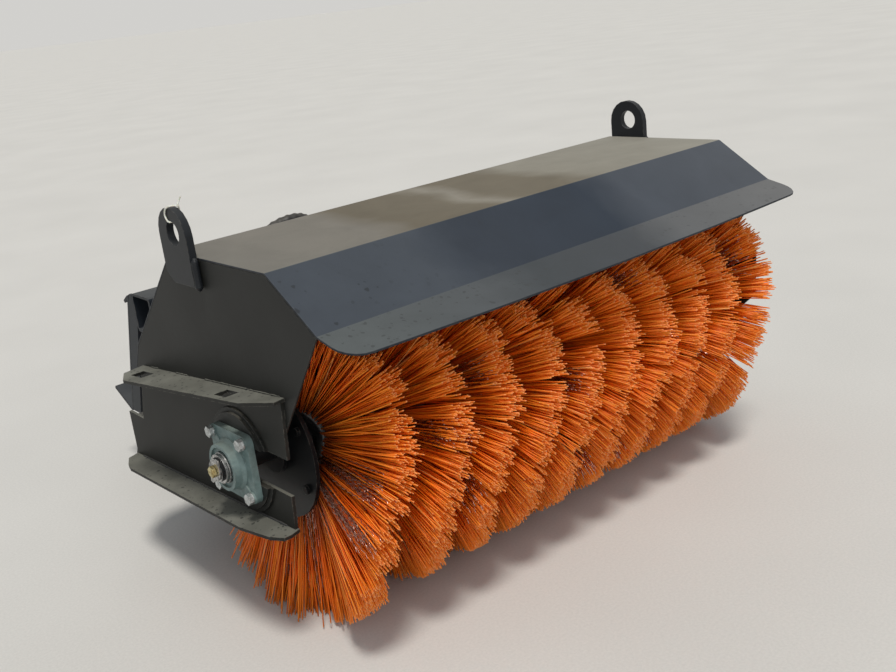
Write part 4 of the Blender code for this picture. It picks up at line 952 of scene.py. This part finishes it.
def tubeAlong(name, path, sizes, sides, finish, body):  # sizes gives the radius at a step and an angle
    ahead = np.gradient(path, axis=0)
    ahead /= np.linalg.norm(ahead, axis=1)[:, None]
    across = Vector((0.13, 0.31, 0.94)).cross(Vector(ahead[0])).normalized()  # any start off the path will do
    points, faces = [], []
    for index, (point, direction) in enumerate(zip(path, ahead)):
        direction = Vector(direction)
        across = (across - direction * across.dot(direction)).normalized()
        around = direction.cross(across)
        for side in range(sides):
            angle = 2 * math.pi * side / sides
            reach = sizes(index, angle)
            points.append(Vector(point) + (across * math.cos(angle) + around * math.sin(angle)) * reach)
    for index in range(len(path) - 1):
        here, there = index * sides, (index + 1) * sides
        for side in range(sides):
            follow = (side + 1) % sides
            faces.append((here + side, here + follow, there + follow, there + side))
    faces.append(tuple(range(sides))[::-1])
    faces.append(tuple((len(path) - 1) * sides + side for side in range(sides)))
    piece = newPiece(name, points, faces, finishes[finish])
    piece.data.polygons.foreach_set("use_smooth", np.ones(len(faces), bool))
    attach(piece, body)
    return piece


def makeHoses():
    def crimp(step, angle):
        return hose["radius"] + hose["ferrule"] - (hose["ferruleGroove"] if step % 4 < 2 else 0.0)

    for index in range(2):
        path, marks = smoothRoute(hoseRoute(index), hose["spacing"])

        def guard(step, angle):
            turn = (marks[step] / hose["turn"] * 2 * math.pi + angle) % (2 * math.pi)
            ridge = max(0.0, math.cos(turn)) ** 0.5
            return hose["radius"] + hose["guard"] * ridge

        piece = tubeAlong("guardedHose_%d" % (index + 1), path, guard, hose["sides"], "hoseRubber", "deck")
        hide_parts("hose_%d" % (index + 1))
        first, last = hose["ferruleSteps"]
        for end, route in (("start", path[:first]), ("end", path[-last:])):
            name = "ferrule_%d_%s" % (index + 1, end)
            ferrule = tubeAlong(name, route, crimp, hose["ferruleSides"], "zincPlate", "deck")


makeHoses()
print("hoses made")


# Weld beads

beadLook = {
    "radius": 0.0042, "ripple": 0.0007, "pitch": 0.0036, "spacing": 0.0011, "sides": 10,
    "stray": 0.0004, "strayEvery": 9, "closed": 0.05,
}
bracketEdges = {"top": (0.623, 0.008, 0.0991), "foot": (0.303, 0.030, 0.0489)}  # height, at which y, and fall
webFace, channelFace = 0.7628, 0.7706  # the hood's side of the bracket's web, and the side inside its flanges
topLift, inLift = 0.0005, 0.0085  # above the upper edge, and in from each edge


def bracketLine(x, edge, lift, *ends):
    height, start, fall = bracketEdges[edge]
    return [(x, y, height - (y - start) * fall + lift) for y in ends]


# each bead's start and end on the right side, its body, radius and finish; the left side is the mirror
beads = {
    "lugFrontBead_%s": ((0.7715, 0.2690, 0.815), (0.7715, 0.2690, 0.890), "deck", 0.0088, "lugPaint"),
    "lugBackBead_%s": ((webFace, 0.3965, 0.853), (webFace, 0.3965, 0.880), "deck", 0.0046, "framePaint"),
    "bracketBead_%s_0": (*bracketLine(webFace, "top", topLift, 0.020, 0.350),
                         "deck", 0.0027, "flangePaint"),
    "bracketBead_%s_1": (*bracketLine(webFace, "top", topLift, 0.44, 0.50),
                         "deck", 0.0027, "flangePaint"),
    "bracketBead_%s_2": (*bracketLine(webFace, "top", topLift, 0.60, 0.64),
                         "deck", 0.0027, "flangePaint"),
    "channelBead_%s": (*bracketLine(channelFace, "top", -inLift, 0.06, 0.66),
                       "deck", 0.0034, "framePaint"),
    "channelFootBead_%s": (*bracketLine(channelFace, "foot", inLift, 0.07, 0.80),
                           "deck", 0.0034, "framePaint"),
    "hubBeadTop_%s": ((0.0500, 0.8358, 0.289), (0.0500, 0.8358, 0.381),
                      "deck", beadLook["radius"], "framePaint"),
    "tubeBead_%s": ((0.5595, 1.1515, 0.516), (0.5595, 1.1515, 0.612),
                    "hitch", beadLook["radius"], "framePaint"),
    "ledgeBead_%s": ((0.12, 1.338, 0.1985), (0.22, 1.338, 0.1985), "hitch", beadLook["radius"], "framePaint"),
}


def makeBead(name, start, end, body, radius, finish):
    length = (end - start).length
    count = max(6, int(length / beadLook["spacing"]))
    path = np.array([start.lerp(end, step / count) for step in range(count + 1)])
    random = np.random.default_rng(len(name) * 7 + count)
    knots = np.arange(0, count + 12, beadLook["strayEvery"])
    wobble = np.interp(np.arange(count + 1), knots, random.normal(0, beadLook["stray"], len(knots)))

    def ripple(step, angle):
        near = min(step, count - step) * beadLook["spacing"]
        closing = min(1.0, math.sqrt(max(near, 0.0) / radius + beadLook["closed"]))
        scallop = abs(math.sin(math.pi * step * beadLook["spacing"] / beadLook["pitch"]))
        return (radius - beadLook["ripple"] * scallop + wobble[step]) * closing

    piece = tubeAlong(name, path, ripple, beadLook["sides"], finish, body)


def makeBeads():
    for word, side in (("left", -1), ("right", 1)):
        for name, (start, end, body, radius, finish) in beads.items():
            start, end = (Vector((side * x, y, z)) + shift for x, y, z in (start, end))
            makeBead(name % word, start, end, body, radius, finish)


makeBeads()
print("weld beads made")


# Cable tie looped through the left lug's hole

tie = {
    "radius": 0.0019, "spacing": 0.0012, "loopSides": 10, "tailSides": 8,
    "head": (0.0052, 0.0046, 0.0040), "headAt": (-0.7640, 0.3120, 1.0000),
    "loop": ((-0.7713, 0.328, 0.9655), (-0.7800, 0.329, 0.9655), (-0.7828, 0.334, 0.9670),
             (-0.7829, 0.341, 0.9735), (-0.7829, 0.3438, 0.9810), (-0.7828, 0.3405, 0.9895),
             (-0.7822, 0.3340, 0.9958), (-0.7790, 0.3250, 1.0000), (-0.7713, 0.3170, 1.0005),
             (-0.7640, 0.3130, 0.9990), (-0.7605, 0.3160, 0.9930), (-0.7598, 0.3220, 0.9800),
             (-0.7600, 0.3275, 0.9680), (-0.7625, 0.3280, 0.9655), (-0.7713, 0.328, 0.9655)),
    "tail": ((-0.7650, 0.3120, 1.0010), (-0.7600, 0.3130, 1.0080), (-0.7560, 0.3080, 1.0190)),
}


def tieTube(name, points, sides):
    path, _ = smoothRoute([Vector(point) + shift for point in points], tie["spacing"])
    return tubeAlong(name, path, lambda step, angle: tie["radius"], sides, "whiteNylon", "deck")


def makeTie():
    loop = tieTube("tieLoop", tie["loop"], tie["loopSides"])
    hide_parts("cable_tie")
    tail = tieTube("tieTail", tie["tail"], tie["tailSides"])
    shape = bmesh.new()
    bmesh.ops.create_cube(shape, size=1.0)
    bmesh.ops.scale(shape, vec=tie["head"], verts=shape.verts)
    bmesh.ops.translate(shape, vec=Vector(tie["headAt"]) + shift, verts=shape.verts)
    head = newPiece("tieHead", [], [], finishes["whiteNylon"])
    shape.to_mesh(head.data)
    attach(head, "deck")


makeTie()
print("cable tie made")

makeCamera(photoCamera)
for name in lamps:
    makeLamp(name)
makeFloor()
makeWorld()
print("stage made")
